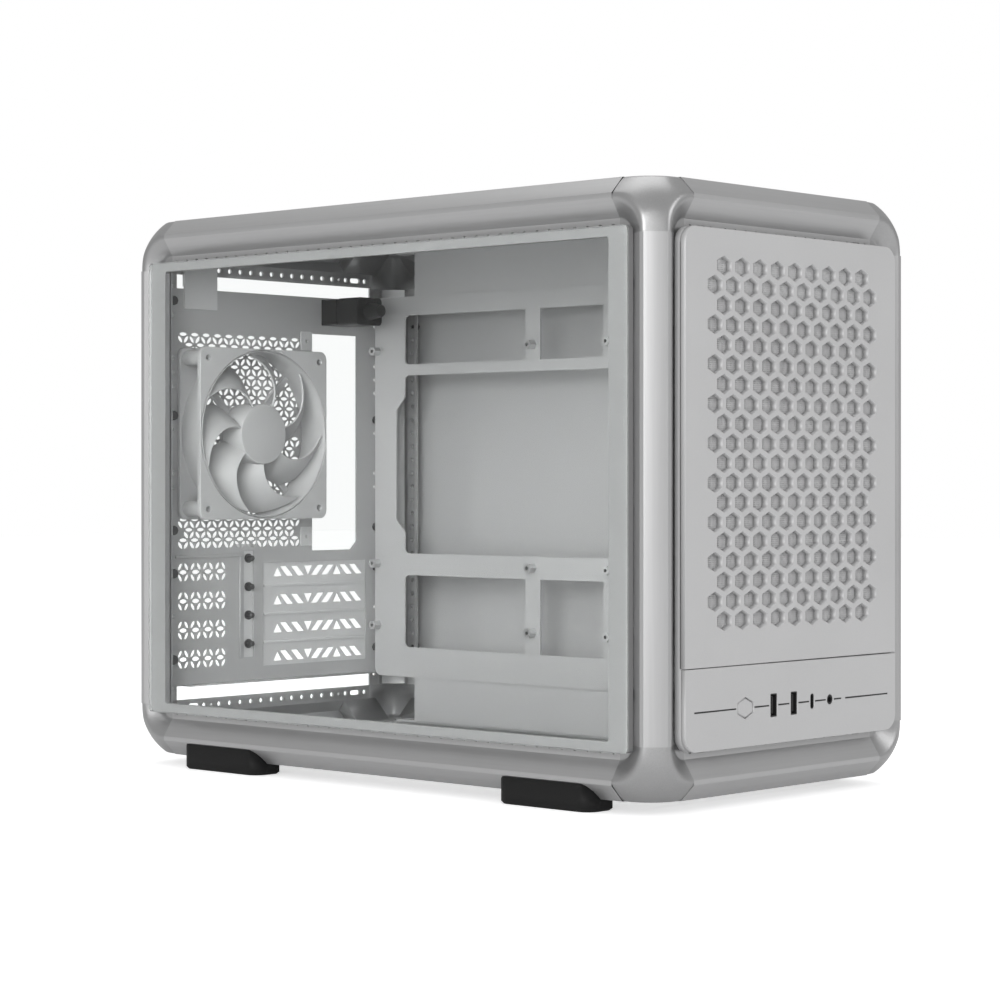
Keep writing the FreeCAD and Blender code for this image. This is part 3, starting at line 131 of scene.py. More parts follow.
def plate(loops, start, end, place, bevel=0.0):
    """Flat sheet between two depths of a side; the first loop is its edge and the others are holes."""
    curve = bpy.data.curves.new("sheet", "CURVE")
    curve.dimensions = "2D"
    curve.fill_mode = "BOTH"
    curve.extrude = (end - start) / 2 - bevel
    curve.bevel_depth = bevel
    curve.bevel_resolution = 0
    curve.offset = -bevel
    for loop in loops:
        spline = curve.splines.new("POLY")
        spline.points.add(len(loop) - 1)
        for point, (a, b) in zip(spline.points, loop):
            point.co = (a, b, 0, 1)
        spline.use_cyclic_u = True
    carrier = bpy.data.objects.new("sheet", curve)
    bpy.context.scene.collection.objects.link(carrier)
    bpy.context.view_layer.update()
    mesh = bpy.data.meshes.new_from_object(carrier.evaluated_get(bpy.context.evaluated_depsgraph_get()))
    bpy.data.objects.remove(carrier)
    mesh.transform(place @ Matrix.Translation((0, 0, (start + end) / 2)))
    return tidy(mesh)


def merged(meshes):
    """One mesh out of several."""
    work = bmesh.new()
    for mesh in meshes:
        work.from_mesh(mesh)
    result = bpy.data.meshes.new("joined")
    work.to_mesh(result)
    work.free()
    return result


def turned(profile, place, mid_a, mid_b, steps=24):
    """Round piece spun from (radius, depth) points about a line into the side."""
    work = bmesh.new()
    verts = [work.verts.new((r, 0, c)) for r, c in profile]
    edges = [work.edges.new(pair) for pair in zip(verts, verts[1:])]
    bmesh.ops.spin(work, geom=verts + edges, cent=(0, 0, 0), axis=(0, 0, 1), angle=2 * math.pi, steps=steps,
                   use_merge=True)
    bmesh.ops.remove_doubles(work, verts=work.verts, dist=1e-4)
    mesh = bpy.data.meshes.new("turned")
    work.to_mesh(mesh)
    work.free()
    mesh.transform(place @ Matrix.Translation((mid_a, mid_b, 0)))
    return tidy(mesh, 35)


def copied(node, smooth=35):
    """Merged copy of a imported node, with its round faces smoothed."""
    return tidy(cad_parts[node].data.copy(), smooth)


def bored(mesh, cutters):
    """The mesh with holes made by the closed cutter mesh."""
    body = bpy.data.objects.new("body", mesh)
    tool = bpy.data.objects.new("tool", cutters)
    for thing in (body, tool):
        bpy.context.scene.collection.objects.link(thing)
    cut = body.modifiers.new("cut", "BOOLEAN")
    cut.operation = "DIFFERENCE"
    cut.solver = "EXACT"
    cut.object = tool
    bpy.context.view_layer.update()
    result = bpy.data.meshes.new_from_object(body.evaluated_get(bpy.context.evaluated_depsgraph_get()))
    bpy.data.objects.remove(body)
    bpy.data.objects.remove(tool)
    return tidy(result)


# Materials

def finish(name, colour, rough, metal=0.0, grain=0.0, scale=900.0, stretch=(1, 1, 1), bump=0.0, mottle=0.06,
           coat=0.0, edge_highlight=0.0, shine=0.5):
    """Principled surface whose colour, roughness and height vary with a fine procedural grain, with an
    optional painted highlight on convex edges.
    """
    made = bpy.data.materials.new(name)
    made.use_nodes = True
    nodes, links = made.node_tree.nodes, made.node_tree.links
    shader = nodes["Principled BSDF"]
    shader.inputs["Metallic"].default_value = metal
    shader.inputs["Specular IOR Level"].default_value = shine
    shader.inputs["Coat Weight"].default_value = coat
    shader.inputs["Coat Roughness"].default_value = 0.25
    place = nodes.new("ShaderNodeTexCoord")
    mapping = nodes.new("ShaderNodeMapping")
    mapping.inputs["Scale"].default_value = stretch
    links.new(place.outputs["Object"], mapping.inputs["Vector"])
    fine = nodes.new("ShaderNodeTexNoise")
    fine.inputs["Scale"].default_value = scale
    fine.inputs["Detail"].default_value = 3.0
    links.new(mapping.outputs["Vector"], fine.inputs["Vector"])
    broad = nodes.new("ShaderNodeTexNoise")
    broad.inputs["Scale"].default_value = 9.0
    broad.inputs["Detail"].default_value = 4.0
    links.new(place.outputs["Object"], broad.inputs["Vector"])
    tint = nodes.new("ShaderNodeMapRange")
    tint.inputs["To Min"].default_value = 1 - mottle
    tint.inputs["To Max"].default_value = 1 + mottle
    links.new(broad.outputs["Fac"], tint.inputs["Value"])
    speck = nodes.new("ShaderNodeMapRange")
    speck.inputs["To Min"].default_value = 1 - grain
    speck.inputs["To Max"].default_value = 1 + grain
    links.new(fine.outputs["Fac"], speck.inputs["Value"])
    both = nodes.new("ShaderNodeMath")
    both.operation = "MULTIPLY"
    links.new(tint.outputs["Result"], both.inputs[0])
    links.new(speck.outputs["Result"], both.inputs[1])
    base = nodes.new("ShaderNodeVectorMath")
    base.operation = "SCALE"
    base.inputs[0].default_value = colour
    links.new(both.outputs["Value"], base.inputs["Scale"])
    shade = base.outputs["Vector"]
    # Paler convex edges, a painted edge highlight
    if edge_highlight > 0:
        shade = painted_edge_highlight(nodes, links, shade, colour, edge_highlight)
    links.new(shade, shader.inputs["Base Color"])
    gloss = nodes.new("ShaderNodeMapRange")
    gloss.inputs["To Min"].default_value = max(rough - 0.06, 0.05)
    gloss.inputs["To Max"].default_value = rough + 0.06
    links.new(broad.outputs["Fac"], gloss.inputs["Value"])
    links.new(gloss.outputs["Result"], shader.inputs["Roughness"])
    if bump > 0:
        relief = nodes.new("ShaderNodeBump")
        relief.inputs["Strength"].default_value = bump
        relief.inputs["Distance"].default_value = 0.0002
        links.new(fine.outputs["Fac"], relief.inputs["Height"])
        links.new(relief.outputs["Normal"], shader.inputs["Normal"])
    return made


def painted_edge_highlight(nodes, links, shade, colour, edge_highlight):
    """Slightly paler convex edges: a painted highlight where light would catch them."""
    curve = nodes.new("ShaderNodeNewGeometry")
    ramp = nodes.new("ShaderNodeMapRange")
    ramp.inputs["From Min"].default_value = 0.52
    ramp.inputs["From Max"].default_value = 0.62
    ramp.inputs["To Max"].default_value = edge_highlight
    links.new(curve.outputs["Pointiness"], ramp.inputs["Value"])
    mix = nodes.new("ShaderNodeMix")
    mix.data_type = "RGBA"
    links.new(ramp.outputs["Result"], mix.inputs["Factor"])
    links.new(shade, mix.inputs["A"])
    mix.inputs["B"].default_value = tuple(min(c * 1.5, 1.0) for c in colour) + (1,)
    return mix.outputs["Result"]


def grey(level):
    return (level, level, level * 1.005)


def clear_glass():
    made = bpy.data.materials.new("tempered_glass")
    made.use_nodes = True
    nodes, links = made.node_tree.nodes, made.node_tree.links
    shader = nodes["Principled BSDF"]
    shader.inputs["Base Color"].default_value = (0.96, 0.975, 0.97, 1)
    shader.inputs["Transmission Weight"].default_value = 1.0
    shader.inputs["Roughness"].default_value = 0.0
    shader.inputs["IOR"].default_value = 1.2
    haze = nodes.new("ShaderNodeTexNoise")
    haze.inputs["Scale"].default_value = 6.0
    place = nodes.new("ShaderNodeTexCoord")
    links.new(place.outputs["Object"], haze.inputs["Vector"])
    soft = nodes.new("ShaderNodeMapRange")
    soft.inputs["To Max"].default_value = 0.02
    links.new(haze.outputs["Fac"], soft.inputs["Value"])
    links.new(soft.outputs["Result"], shader.inputs["Roughness"])
    path = nodes.new("ShaderNodeLightPath")
    through = nodes.new("ShaderNodeBsdfTransparent")
    mix = nodes.new("ShaderNodeMixShader")
    links.new(path.outputs["Is Shadow Ray"], mix.inputs["Fac"])
    links.new(shader.outputs["BSDF"], mix.inputs[1])
    links.new(through.outputs["BSDF"], mix.inputs[2])
    links.new(mix.outputs["Shader"], nodes["Material Output"].inputs["Surface"])
    return made


# The frame metals and castings get a painted highlight on their convex edges
ALONG_X = finish("anodised_across", grey(0.40), 0.40, 0.75, 0.10, 700, (0.02, 1, 1), 0.10, edge_highlight=0.5)
ALONG_Y = finish("anodised_lengthwise", grey(0.40), 0.40, 0.75, 0.10, 700, (1, 0.02, 1), 0.10, edge_highlight=0.5)
ALONG_Z = finish("anodised_upright", grey(0.40), 0.40, 0.75, 0.10, 700, (1, 1, 0.02), 0.10, edge_highlight=0.5)
CAST = finish("blasted_casting", grey(0.40), 0.36, 0.8, 0.12, 1500, bump=0.22, edge_highlight=0.4)
PAINT = finish("pale_paint", grey(0.54), 0.46, 0.25, 0.05, 1800, bump=0.12, coat=0.1)
SHEET = finish("sheet_paint", grey(0.52), 0.48, 0.15, 0.06, 1500, bump=0.12)
BAND = finish("band_paint", grey(0.29), 0.45, 0.2, 0.06, 1500, bump=0.12)
PALE = finish("pale_steel", grey(0.70), 0.45, 0.1, 0.05, 1500, bump=0.1)
BRIGHT = finish("zinc_plate", grey(0.60), 0.30, 0.85, 0.10, 900, (1, 1, 0.1), 0.10)
DARK = finish("dark_paint", grey(0.024), 0.45, 0.0, 0.10, 1500, bump=0.15, shine=0.25)
PLASTIC = finish("dark_moulding", grey(0.020), 0.42, 0.0, 0.10, 1800, bump=0.2, shine=0.25)
FAN = finish("fan_moulding", grey(0.55), 0.42, 0.0, 0.06, 1500, bump=0.15)
RUBBER = finish("foot_rubber", grey(0.014), 0.55, 0.0, 0.25, 2200, bump=0.35, shine=0.2)
BOARD = finish("board_lacquer", grey(0.03), 0.35, 0.0, 0.1, 1200, bump=0.1, coat=0.3)
WIRE = finish("woven_filter", grey(0.45), 0.5, 0.0, 0.08, 1500, bump=0.1)
SCREW = finish("blackened_steel", grey(0.12), 0.35, 0.8, 0.12, 1200, bump=0.15)
GLASS = clear_glass()


def dress(name, mesh, material, body=CHASSIS, replaced=()):
    """Make a finished piece that rides on a body and stands for the named nodes."""
    mesh.name = name
    mesh.materials.clear()
    mesh.materials.append(material)
    piece = bpy.data.objects.new(name, mesh)
    bpy.context.scene.collection.objects.link(piece)
    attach(piece, body)
    if replaced:
        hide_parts(*replaced)
    return piece


# Beams and posts

def crossing(p, d, q, e):
    cross = d[0] * e[1] - d[1] * e[0]
    t = ((q[0] - p[0]) * e[1] - (q[1] - p[1]) * e[0]) / cross
    return (p[0] + t * d[0], p[1] + t * d[1])


def chamfer_line(depth):
    half = (CHAMFER + depth * math.sqrt(2)) / 2
    return (half, half), (1, -1)


def slope_line(depth):
    run = math.hypot(SLOPE_DEPTH, SLOPE_RUN)
    return (depth * SLOPE_RUN / run, CHAMFER + RIDGE - depth * SLOPE_DEPTH / run), (SLOPE_DEPTH, SLOPE_RUN)


def upright_line(depth):
    return (depth, 0), (0, 1)


def both_legs(points):
    return points + [(v, u) for u, v in reversed(points)]


def section_loops():
    web = 2 * WALL + TUBE
    outside = [(SLOPE_DEPTH, LEG), crossing(*upright_line(SLOPE_DEPTH), *slope_line(0)), (0, CHAMFER + RIDGE),
               (0, CHAMFER)]
    inside = [crossing(*slope_line(WALL), *chamfer_line(web)),
              crossing(*upright_line(SLOPE_DEPTH + WALL), *slope_line(WALL)), (SLOPE_DEPTH + WALL, LEG)]
    edge = both_legs(outside) + [(v, u) for u, v in reversed(inside)] + inside
    tube = both_legs([crossing(*slope_line(WALL), *chamfer_line(WALL + TUBE)),
                      crossing(*upright_line(WALL), *slope_line(WALL)),
                      crossing(*upright_line(WALL), *chamfer_line(WALL))])
    return [rounded(edge, 0.35, 2), rounded(tube, 0.4, 1)]


def hole_spans(kind, length):
    """Places along the beam of the holes in the upright flange, with their long size."""
    half = length / 2
    if kind == "long":
        return [(half - 5 - PITCH * i, HOLE) for i in range(40)]
    if kind == "post":
        return [(half - 8.5 - PITCH * i, HOLE) for i in range(29)]
    spans = [(half - 39 - PITCH * i, HOLE) for i in range(12)]
    for way in (-1, 1):
        spans += [(way * (half - 5.5), HOLE), (way * (half - 15.5), PITCH), (way * (half - 25), HOLE),
                  (way * (half - 32), HOLE * 0.6)]
    return spans


def drill(t, long_way, tall, other_leg):
    """Closed cutter through one flange, in (u, v, t)."""
    if long_way > tall + 0.1:
        loop = rounded(rectangle(long_way, tall, t, HOLE_ROW), tall / 2 - 0.05, 4)
    else:
        loop = circle(long_way, t, HOLE_ROW, 14)
    across, deep = (RIGHT, BACK) if other_leg else (BACK, RIGHT)
    lay = Matrix((UP, across, deep)).transposed().to_4x4()
    return plate([loop], SLOPE_DEPTH - 1, SLOPE_DEPTH + WALL + 1, lay)


def web_screw(t):
    """Cutter through the web behind the chamfer."""
    work = bmesh.new()
    bmesh.ops.create_cone(work, cap_ends=True, segments=14, radius1=1.9, radius2=1.9, depth=6)
    mesh = bpy.data.meshes.new("drill")
    work.to_mesh(mesh)
    work.free()
    depth = (CHAMFER / math.sqrt(2) + 1.5 * WALL + TUBE) / math.sqrt(2)
    mesh.transform(Matrix.Translation((depth, depth, t)) @ CHAMFER_LEAN)
    return mesh


def drilled(kind):
    """Full-length beam in (u, v, t) millimetres with every flange hole."""
    length = LENGTHS[kind]
    body = plate(section_loops(), -length / 2, length / 2, Matrix.Identity(4))
    spans = hole_spans(kind, length)
    cutters = [drill(t, size, min(size, HOLE), False) for t, size in spans]
    if kind == "post":
        cutters += [drill(t, size, HOLE, True) for t, size in spans]
        cutters += [web_screw(way * (length / 2 - at)) for way in (-1, 1) for at in WEB_SCREWS_AT]
    else:
        count = 38 if kind == "long" else 16
        cutters += [drill((i - (count - 1) / 2) * PITCH, 6.0, 2.5, True) for i in range(count)]
    return bored(body, merged(cutters))


def soft_min(values, blend):
    """Least value, with the bends between the values rounded off."""
    best = values[0]
    for value in values[1:]:
        near = max(blend - abs(best - value), 0.0) / blend
        best = min(best, value) - near * near * blend / 4
    return best


def dish_reach(axial, radial):
    """Distance from the rim point to a dish along a direction."""
    steep = SLOPE_RUN / SLOPE_DEPTH
    floor = (LEG - SLOPE_DEPTH) / max(axial, 1e-6)
    opening = steep * axial - radial
    inner = LEG - CHAMFER - RIDGE - SLOPE_RUN
    if opening < 1e-4:
        return 99.0
    return max(floor, ((LEG - SLOPE_DEPTH) * steep - inner) / opening)


def casting_reach(d, blend=0.0):
    """Distance from the rim point to the outside of the casting along a direction."""
    a, b, c = d
    tiny = 1e-4
    ball = math.hypot(LEG, LEG - CHAMFER)
    bands = [(2 * LEG - CHAMFER) / max(pair, tiny) for pair in (a + b, b + c, c + a)]
    flats = [LEG / max(value, tiny) for value in d]
    orders = ((a, b, c), (b, c, a), (c, a, b))
    dishes = [dish_reach(one, math.hypot(two, three)) for one, two, three in orders]
    if blend == 0:
        return min([ball] + bands + flats + dishes)
    return soft_min([soft_min([ball] + bands, 2 * blend)] + flats + dishes, blend)


def casting():
    """Corner bracket at the left, front, bottom, with a finely rounded outer skin."""
    rim = (CENTRE - FRAME_HALF + Vector((LEG, LEG, LEG))) * MM
    work = bmesh.new()
    work.from_mesh(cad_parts["corner_left_front_bottom"].data)
    bmesh.ops.remove_doubles(work, verts=work.verts, dist=2e-6)
    outer = []
    for face in work.faces:
        away = (rim - face.calc_center_median()) / MM
        if min(away) > -0.05 and away.length > casting_reach(away.normalized()) - 0.25:
            outer.append(face)
    bmesh.ops.delete(work, geom=outer, context="FACES")
    steps = 72
    rows = []
    for i in range(steps + 1):
        row = []
        for j in range(steps + 1 - i):
            d = Vector((i, j, steps - i - j)).normalized()
            row.append(work.verts.new(rim - d * casting_reach(d, 1.1) * MM))
        rows.append(row)
    for low, high in zip(rows, rows[1:]):
        for j in range(len(high)):
            work.faces.new((low[j], high[j], low[j + 1]))
            if j + 1 < len(high):
                work.faces.new((low[j + 1], high[j], high[j + 1]))
    mesh = bpy.data.meshes.new("casting")
    work.to_mesh(mesh)
    work.free()
    soften(mesh, 42)
    return mesh


def corner_place(kind):
    """Matrix from (u, v, t) to the front, left, bottom edge of its kind."""
    low = -FRAME_HALF
    if kind == "short":
        return side((0, low.y, low.z), BACK, UP, RIGHT)
    if kind == "long":
        return side((low.x, 0, low.z), RIGHT, UP, BACK)
    return side((low.x, low.y, 0), RIGHT, BACK, UP)


def flipped(mesh, x=1, y=1, z=1):
    """Copy on the other side of the case's middle planes."""
    twin = mesh.copy()
    middle = Matrix.Translation(CENTRE * MM)
    twin.transform(middle @ Matrix.Diagonal((x, y, z, 1)) @ middle.inverted())
    if x * y * z < 0:
        twin.flip_normals()
    return twin


def web_screws():
    """Button-head screws that hold a post's two ends to the castings, in the post's own place."""
    depth = (CHAMFER / math.sqrt(2) + 2 * WALL + TUBE) / math.sqrt(2)
    profile = [(0, 1.1), (1.0, 1.1), (1.0, 1.9), (1.9, 1.9), (2.9, 1.2), (3.1, 0.2), (3.1, 0), (0, 0)]
    heads = []
    for way in (-1, 1):
        for at in WEB_SCREWS_AT:
            spot = Matrix.Translation((depth, depth, way * (LENGTHS["post"] / 2 - at)))
            heads.append(turned(profile, spot @ CHAMFER_LEAN, 0, 0, 18))
    mesh = merged(heads)
    mesh.transform(corner_place("post"))
    soften(mesh, 35)
    return mesh


def make_frame():
    ways = {"left": -1, "right": 1, "front": -1, "rear": 1, "bottom": -1, "top": 1}
    meshes = {}
    for kind in LENGTHS:
        mesh = drilled(kind)
        mesh.transform(corner_place(kind))
        meshes[kind] = tidy(mesh, 30)
    for level in ("bottom", "top"):
        z = -ways[level]
        for end in ("front", "rear"):
            node = f"beam_{end}_{level}"
            dress(f"{node}_drilled", flipped(meshes["short"], 1, -ways[end], z), ALONG_X,
                  replaced=(node,))
        for hand in ("left", "right"):
            node = f"beam_{hand}_{level}"
            dress(f"{node}_drilled", flipped(meshes["long"], -ways[hand], 1, z), ALONG_Y,
                  replaced=(node,))
    bracket = casting()
    heads = web_screws()
    for hand in ("left", "right"):
        for end in ("front", "rear"):
            node = f"post_{hand}_{end}"
            dress(f"{node}_drilled", flipped(meshes["post"], -ways[hand], -ways[end], 1), ALONG_Z,
                  replaced=(node,))
            dress(f"{node}_screws", flipped(heads, -ways[hand], -ways[end], 1), SCREW)
            for level in ("bottom", "top"):
                corner = f"corner_{hand}_{end}_{level}"
                cast = flipped(bracket, -ways[hand], -ways[end], -ways[level])
                dress(f"{corner}_casting", cast, CAST, replaced=(corner,))
            foot = f"foot_{hand}_{end}"
            dress(f"{foot}_moulding", copied(foot, 40), RUBBER, replaced=(foot,))


# Woven filters

def woven(width, height, pitch, wire, depth, place):
    """Crossed wires, one set in front of the other."""
    work = bmesh.new()
    for long_way, reach, span in ((True, height, width), (False, width, height)):
        count = int(span / pitch)
        for i in range(count):
            at = (i - (count - 1) / 2) * pitch
            size = (wire, reach, wire) if long_way else (reach, wire, wire)
            spot = (at, 0, depth) if long_way else (0, at, depth + wire * 0.6)
            bmesh.ops.create_cube(work, size=1, matrix=Matrix.LocRotScale(Vector(spot), None, Vector(size)))
    mesh = bpy.data.meshes.new("woven")
    work.to_mesh(mesh)
    work.free()
    mesh.transform(place)
    return mesh


def make_filters():
    grille_mid = (131.3 - 77.5) / 2
    mesh = woven(182.0, 220.0, 1.25, 0.46, 4.8, FRONT @ Matrix.Translation((0, grille_mid, 0)))
    dress("front_mesh_woven", mesh, PALE, replaced=("front_mesh",))
    for name, place, start in (("top_filter", TOP, 1.5), ("bottom_filter", BOTTOM, 0.3)):
        edge = rounded(rectangle(205, 390), 4.0)
        window = rounded(rectangle(193, 378), 2.0)
        rim = plate([edge, window], start, start + 3.5, place, 0.4)
        dress(f"{name}_rim", rim, SHEET, replaced=(name,))
        net = woven(193.4, 378.4, 1.5, 0.5, start + 1.6, place)
        dress(f"{name}_woven", net, WIRE, replaced=(name,))


# Panels

def pointed_hexagon(wide, tall, mid_a, mid_b):
    a, b = wide / 2, tall / 2
    corners = [(0, b), (-a, b / 2), (-a, -b / 2), (0, -b), (a, -b / 2), (a, b / 2)]
    return [(mid_a + x, mid_b + y) for x, y in corners]


def hexagon_rows(rows, first_count, pitch, size, top):
    """Staggered hexagons as a list of loops."""
    loops = []
    for row in range(rows):
        count = first_count + row % 2
        for i in range(count):
            loops.append(pointed_hexagon(*size, (i - (count - 1) / 2) * pitch[0], top - row * pitch[1]))
    return loops


def cornered(points, radii):
    """Outline with its own radius at each corner."""
    loop = []
    for i, radius in enumerate(radii):
        arc = rounded(points, radius, 8)[9 * i:9 * i + 9]
        loop += arc if radius > 0.5 else [points[i]]
    return loop


def make_front_panel():
    """Two-part face with a seam, the grille, the port cut-outs and the thin inlaid line through them."""
    half_gap, sharp, edge, top = 0.3, 0.3, 10.0, PANEL_TALL / 2
    upper = rectangle(PANEL_WIDE, top - SEAM_Z - half_gap, 0, (top + SEAM_Z + half_gap) / 2)
    upper = cornered(upper, (sharp, sharp, edge, edge))
    lower = rectangle(PANEL_WIDE, top + SEAM_Z - half_gap, 0, (SEAM_Z - half_gap - top) / 2)
    lower = cornered(lower, (edge, edge, sharp, sharp))
    holes = hexagon_rows(19, 9, (17.45, 11.6), (13.4, 11.4), 131.3)
    ports = [pointed_hexagon(15.5, 13.1, BUTTON_X, PORT_Z)]
    ports += [rounded(rectangle(6.6, 13.9, x, PORT_Z), 0.4, 1) for x in (-21.5, -1.2)]
    ports.append(rounded(rectangle(3.8, 9.5, 17.4, PORT_Z), 1.85, 4))
    ports.append(circle(6.2, 35.8, PORT_Z, 20))
    spans = ((-98, -58.2), (-40.6, -26), (-17, -5.7), (3.3, 14.4), (20.4, 31.6), (40, 48), (52, 98))
    lines = [rectangle(b - a, 0.9, (a + b) / 2, PORT_Z) for a, b in spans]
    inlays = [plate([rectangle(b - a + 0.4, 1.3, (a + b) / 2, PORT_Z)], 0.25, 1.2, FRONT) for a, b in spans]
    inner = rounded(rectangle(208, 301), 7.5, 8)
    face = plate([upper] + holes, 0, 4.4, FRONT, 0.35)
    strip = plate([lower] + ports + lines, 0, 3.5, FRONT, 0.2)
    rim = plate([rounded(rectangle(PANEL_WIDE, PANEL_TALL), edge, 8), inner], 3.3, 8.0, FRONT, 0.2)
    backing = plate([rectangle(207, 6, 0, SEAM_Z)], 4.4, 5.2, FRONT)
    bosses = [turned([(0, 3.2), (3, 3.2), (3, 12.5), (0, 12.5)], FRONT, x, PORT_Z) for x in (-68.0, 56.0)]
    dress("front_panel_face", merged([face, strip, rim, backing] + bosses), PAINT,
          replaced=("front_panel",))
    dress("front_panel_inlay", merged(inlays), DARK)


def make_button():
    """Six-sided cap with a bevelled edge, its flange behind the panel and its round stem."""
    spot = (BUTTON_X, PORT_Z)
    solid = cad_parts["power_button"].data
    stem_end = max(vert.co.y for vert in solid.vertices) / MM - CENTRE.y + FRONT_Y
    parts = [plate([pointed_hexagon(14.6, 12.2, *spot)], 0.1, 4.9, FRONT, 0.9),
             plate([pointed_hexagon(18.6, 16.2, *spot)], 3.85, 5.0, FRONT, 0.2),
             turned([(0, 4.7), (2.4, 4.7), (2.4, stem_end), (0, stem_end)], FRONT, *spot)]
    dress("power_button_cap", merged(parts), PAINT, BUTTON, ("power_button",))


def leaf(mid_a, mid_b, lean, stretch=(1.0, 1.0), size=1.0):
    """Pointed oval opening, leaning by an angle."""
    long_way, wide_way = 3.55 * size, 1.62 * size
    turn = math.radians(lean)
    loop = []
    for i in range(10):
        t = 2 * math.pi * i / 10
        a = long_way * math.cos(t)
        b = wide_way * math.copysign(abs(math.sin(t)) ** 1.35, math.sin(t))
        x, y = a * math.cos(turn) - b * math.sin(turn), a * math.sin(turn) + b * math.cos(turn)
        loop.append((mid_a + x * stretch[0], mid_b + y * stretch[1]))
    return loop


def make_rear_panel():
    """Rear sheet with its field of leaf-shaped openings that read as stacked cubes."""
    pitch, rise = 10.6, 7.2
    stretch = (1.18, 0.94)
    loops = [rounded(rectangle(PANEL_WIDE, REAR_TALL), 2.0, 2)]
    loops.append([(34, -46.5), (73, -46.5), (79, -40.5), (79, 112), (34, 112)])
    loops.append(rectangle(28, 19, 57.5, 128))
    screws = [(a, b) for a in (-87.5, 17.5) for b in (-15, 90)]
    for row in range(21):
        level = 107.0 - row * rise
        first = -89.0 + row % 2 * pitch / 2
        for i in range(11 - row % 2):
            mid = first + i * pitch
            parts = [(mid, level, 0)]
            parts += [(mid + way * pitch / 4, level - rise / 2, way * 58) for way in (-1, 1)]
            for a, b, lean in parts:
                if all(math.hypot(a - x, b - z) > 7.5 for x, z in screws):
                    loops.append(leaf(a, b, lean, stretch, 0.86))
    for i in range(4):
        for z in (-59.4, -79.72, -100.04, -120.36):
            mid = -89.0 + 11.47 * i
            loops.append(leaf(mid, z, 0, (1, 1)))
            for way in (-1, 1):
                loops.append(leaf(mid + way * 2.85, z + 3.9, -way * 55, (1, 1), 0.86))
                loops.append(leaf(mid + way * 2.85, z - 3.9, way * 55, (1, 1), 0.86))
    loops.append(rectangle(SLOT_WIDE - 6, 74.0, SLOT_LEFT + SLOT_WIDE / 2, SLOT_FIRST - 1.5 * SLOT_PITCH))
    loops.append(rectangle(9.5, 76.0, CHANNEL_X, -83.5))
    for z in (130, 120, 90, 80, 70, 50, 40, 10, 0, -30, -60, -90, -120):
        loops += [circle(HOLE, way * 98.75, z, 12) for way in (-1, 1)]
    loops += [circle(4.3, a, b, 12) for a, b in screws]
    sheet = plate(loops, 0, 1.0, REAR)
    lip = plate([rectangle(180.5, 9.5)], 0, 1.0, side((0, REAR_Y - 5.25, -138.8), RIGHT, BACK, UP))
    ridges = [plate([rectangle(62, 2.2, -66, -48.5)], 0.9, 2.6, REAR, 0.3),
              plate([rectangle(1.8, 74, -36.5, -85)], 0.9, 2.2, REAR, 0.3)]
    dress("rear_panel_vented", merged([sheet, lip] + ridges), SHEET, replaced=("rear_panel",))
    tabs = [plate([rounded(rectangle(11, 14, 27.5, z), 1, 2), circle(2.6, 27.5, z, 12)], 1.0, 2.0, REAR, 0.2)
            for z in (106.5, -36.0)]
    dress("rear_panel_tabs", merged(tabs), PALE)


def make_slot_covers():
    """Slot blanks with triangles and slanted bars, their lower lips, and the screws' ends beside them."""
    left, half, mid = SLOT_LEFT, 3.5, SLOT_LEFT + SLOT_WIDE / 2
    screw_end = [(0, 5.5), (1.6, 5.5), (2.0, 5.0), (2.0, 1.2), (3.3, 1.1), (3.3, 0), (0, 0)]
    covers, ends = [], []
    for i in range(4):
        z = SLOT_FIRST - SLOT_PITCH * i
        loops = [rounded(rectangle(SLOT_WIDE, 18.8, mid, z), 1.0, 2)]
        for x, way in ((left + 14.1, 1), (left + 44.2, -1), (left + 73.4, 1)):
            loops.append([(x, z - way * half), (x + 8.0, z - way * half), (x + 3.9, z + way * half)])
        for x, way in ((20.4, 1), (31.3, 1), (51.0, -1), (61.4, -1), (80.0, 1), (89.8, 1)):
            top, low, a = z + way * half, z - way * half, left + x
            loops.append([(a, top), (a + 6, top), (a + 12.8, low), (a + 6.8, low)])
        covers.append(plate(loops, -1.0, 0, REAR, 0.15))
        if i < 3:
            covers.append(plate([rectangle(101, 1.7, mid, z - SLOT_PITCH / 2)], -0.6, 1.2, REAR, 0.15))
        ends.append(turned(screw_end, REAR, CHANNEL_X, z + SLOT_PITCH / 2, 18))
    dress("slot_covers_cut", merged(covers), PALE, replaced=("slot_covers",))
    dress("slot_screw_ends", merged(ends), SCREW)


def make_cross_rails():
    """Bars across the front with a row of holes and a bent, screwed tab on each end."""
    reach, row, tall, tab = FLANGE_X - WALL, LEG - FRAME_HALF.y, 15.0, 9.0
    head = [(0, 3.2), (1.9, 3.2), (2.9, 2.6), (3.1, 1.3), (0, 1.3)]
    for level, z in (("upper", 104.0), ("lower", -52.0)):
        holes = [circle(6.2, x, 0, 18) for x in (-92, -80, 20, 32, 44, 56, 68, 92)]
        holes += [rounded(rectangle(16, 5.0, x, 0), 2.45, 5) for x in (-58, -28)]
        node, bar = f"cross_rail_{level}", [rectangle(2 * reach, tall)] + holes
        parts = [plate(bar, 0, 1.2, side((0, row, z), RIGHT, UP, -BACK), 0.2)]
        for way in (-1, 1):
            end = side((way * reach, row, z), -BACK, UP, -way * RIGHT)
            bent = [rectangle(tab, tall, tab / 2, 0), circle(HOLE, LEG - HOLE_ROW, 0, 14)]
            parts.append(plate(bent, 0, 1.2, end, 0.2))
            parts.append(turned(head, end, LEG - HOLE_ROW, 0, 18))
        dress(f"{node}_bored", merged(parts), SHEET, replaced=(node,))


def make_glass():
    """Pane a hair in front of the band behind it."""
    pane = plate([rounded(rectangle(GLASS_LONG, PANEL_TALL), 3.0, 6)], 0, 3.9, LEFT_SIDE, 0.4)
    dress("left_glass_pane", pane, GLASS, replaced=("left_glass",))


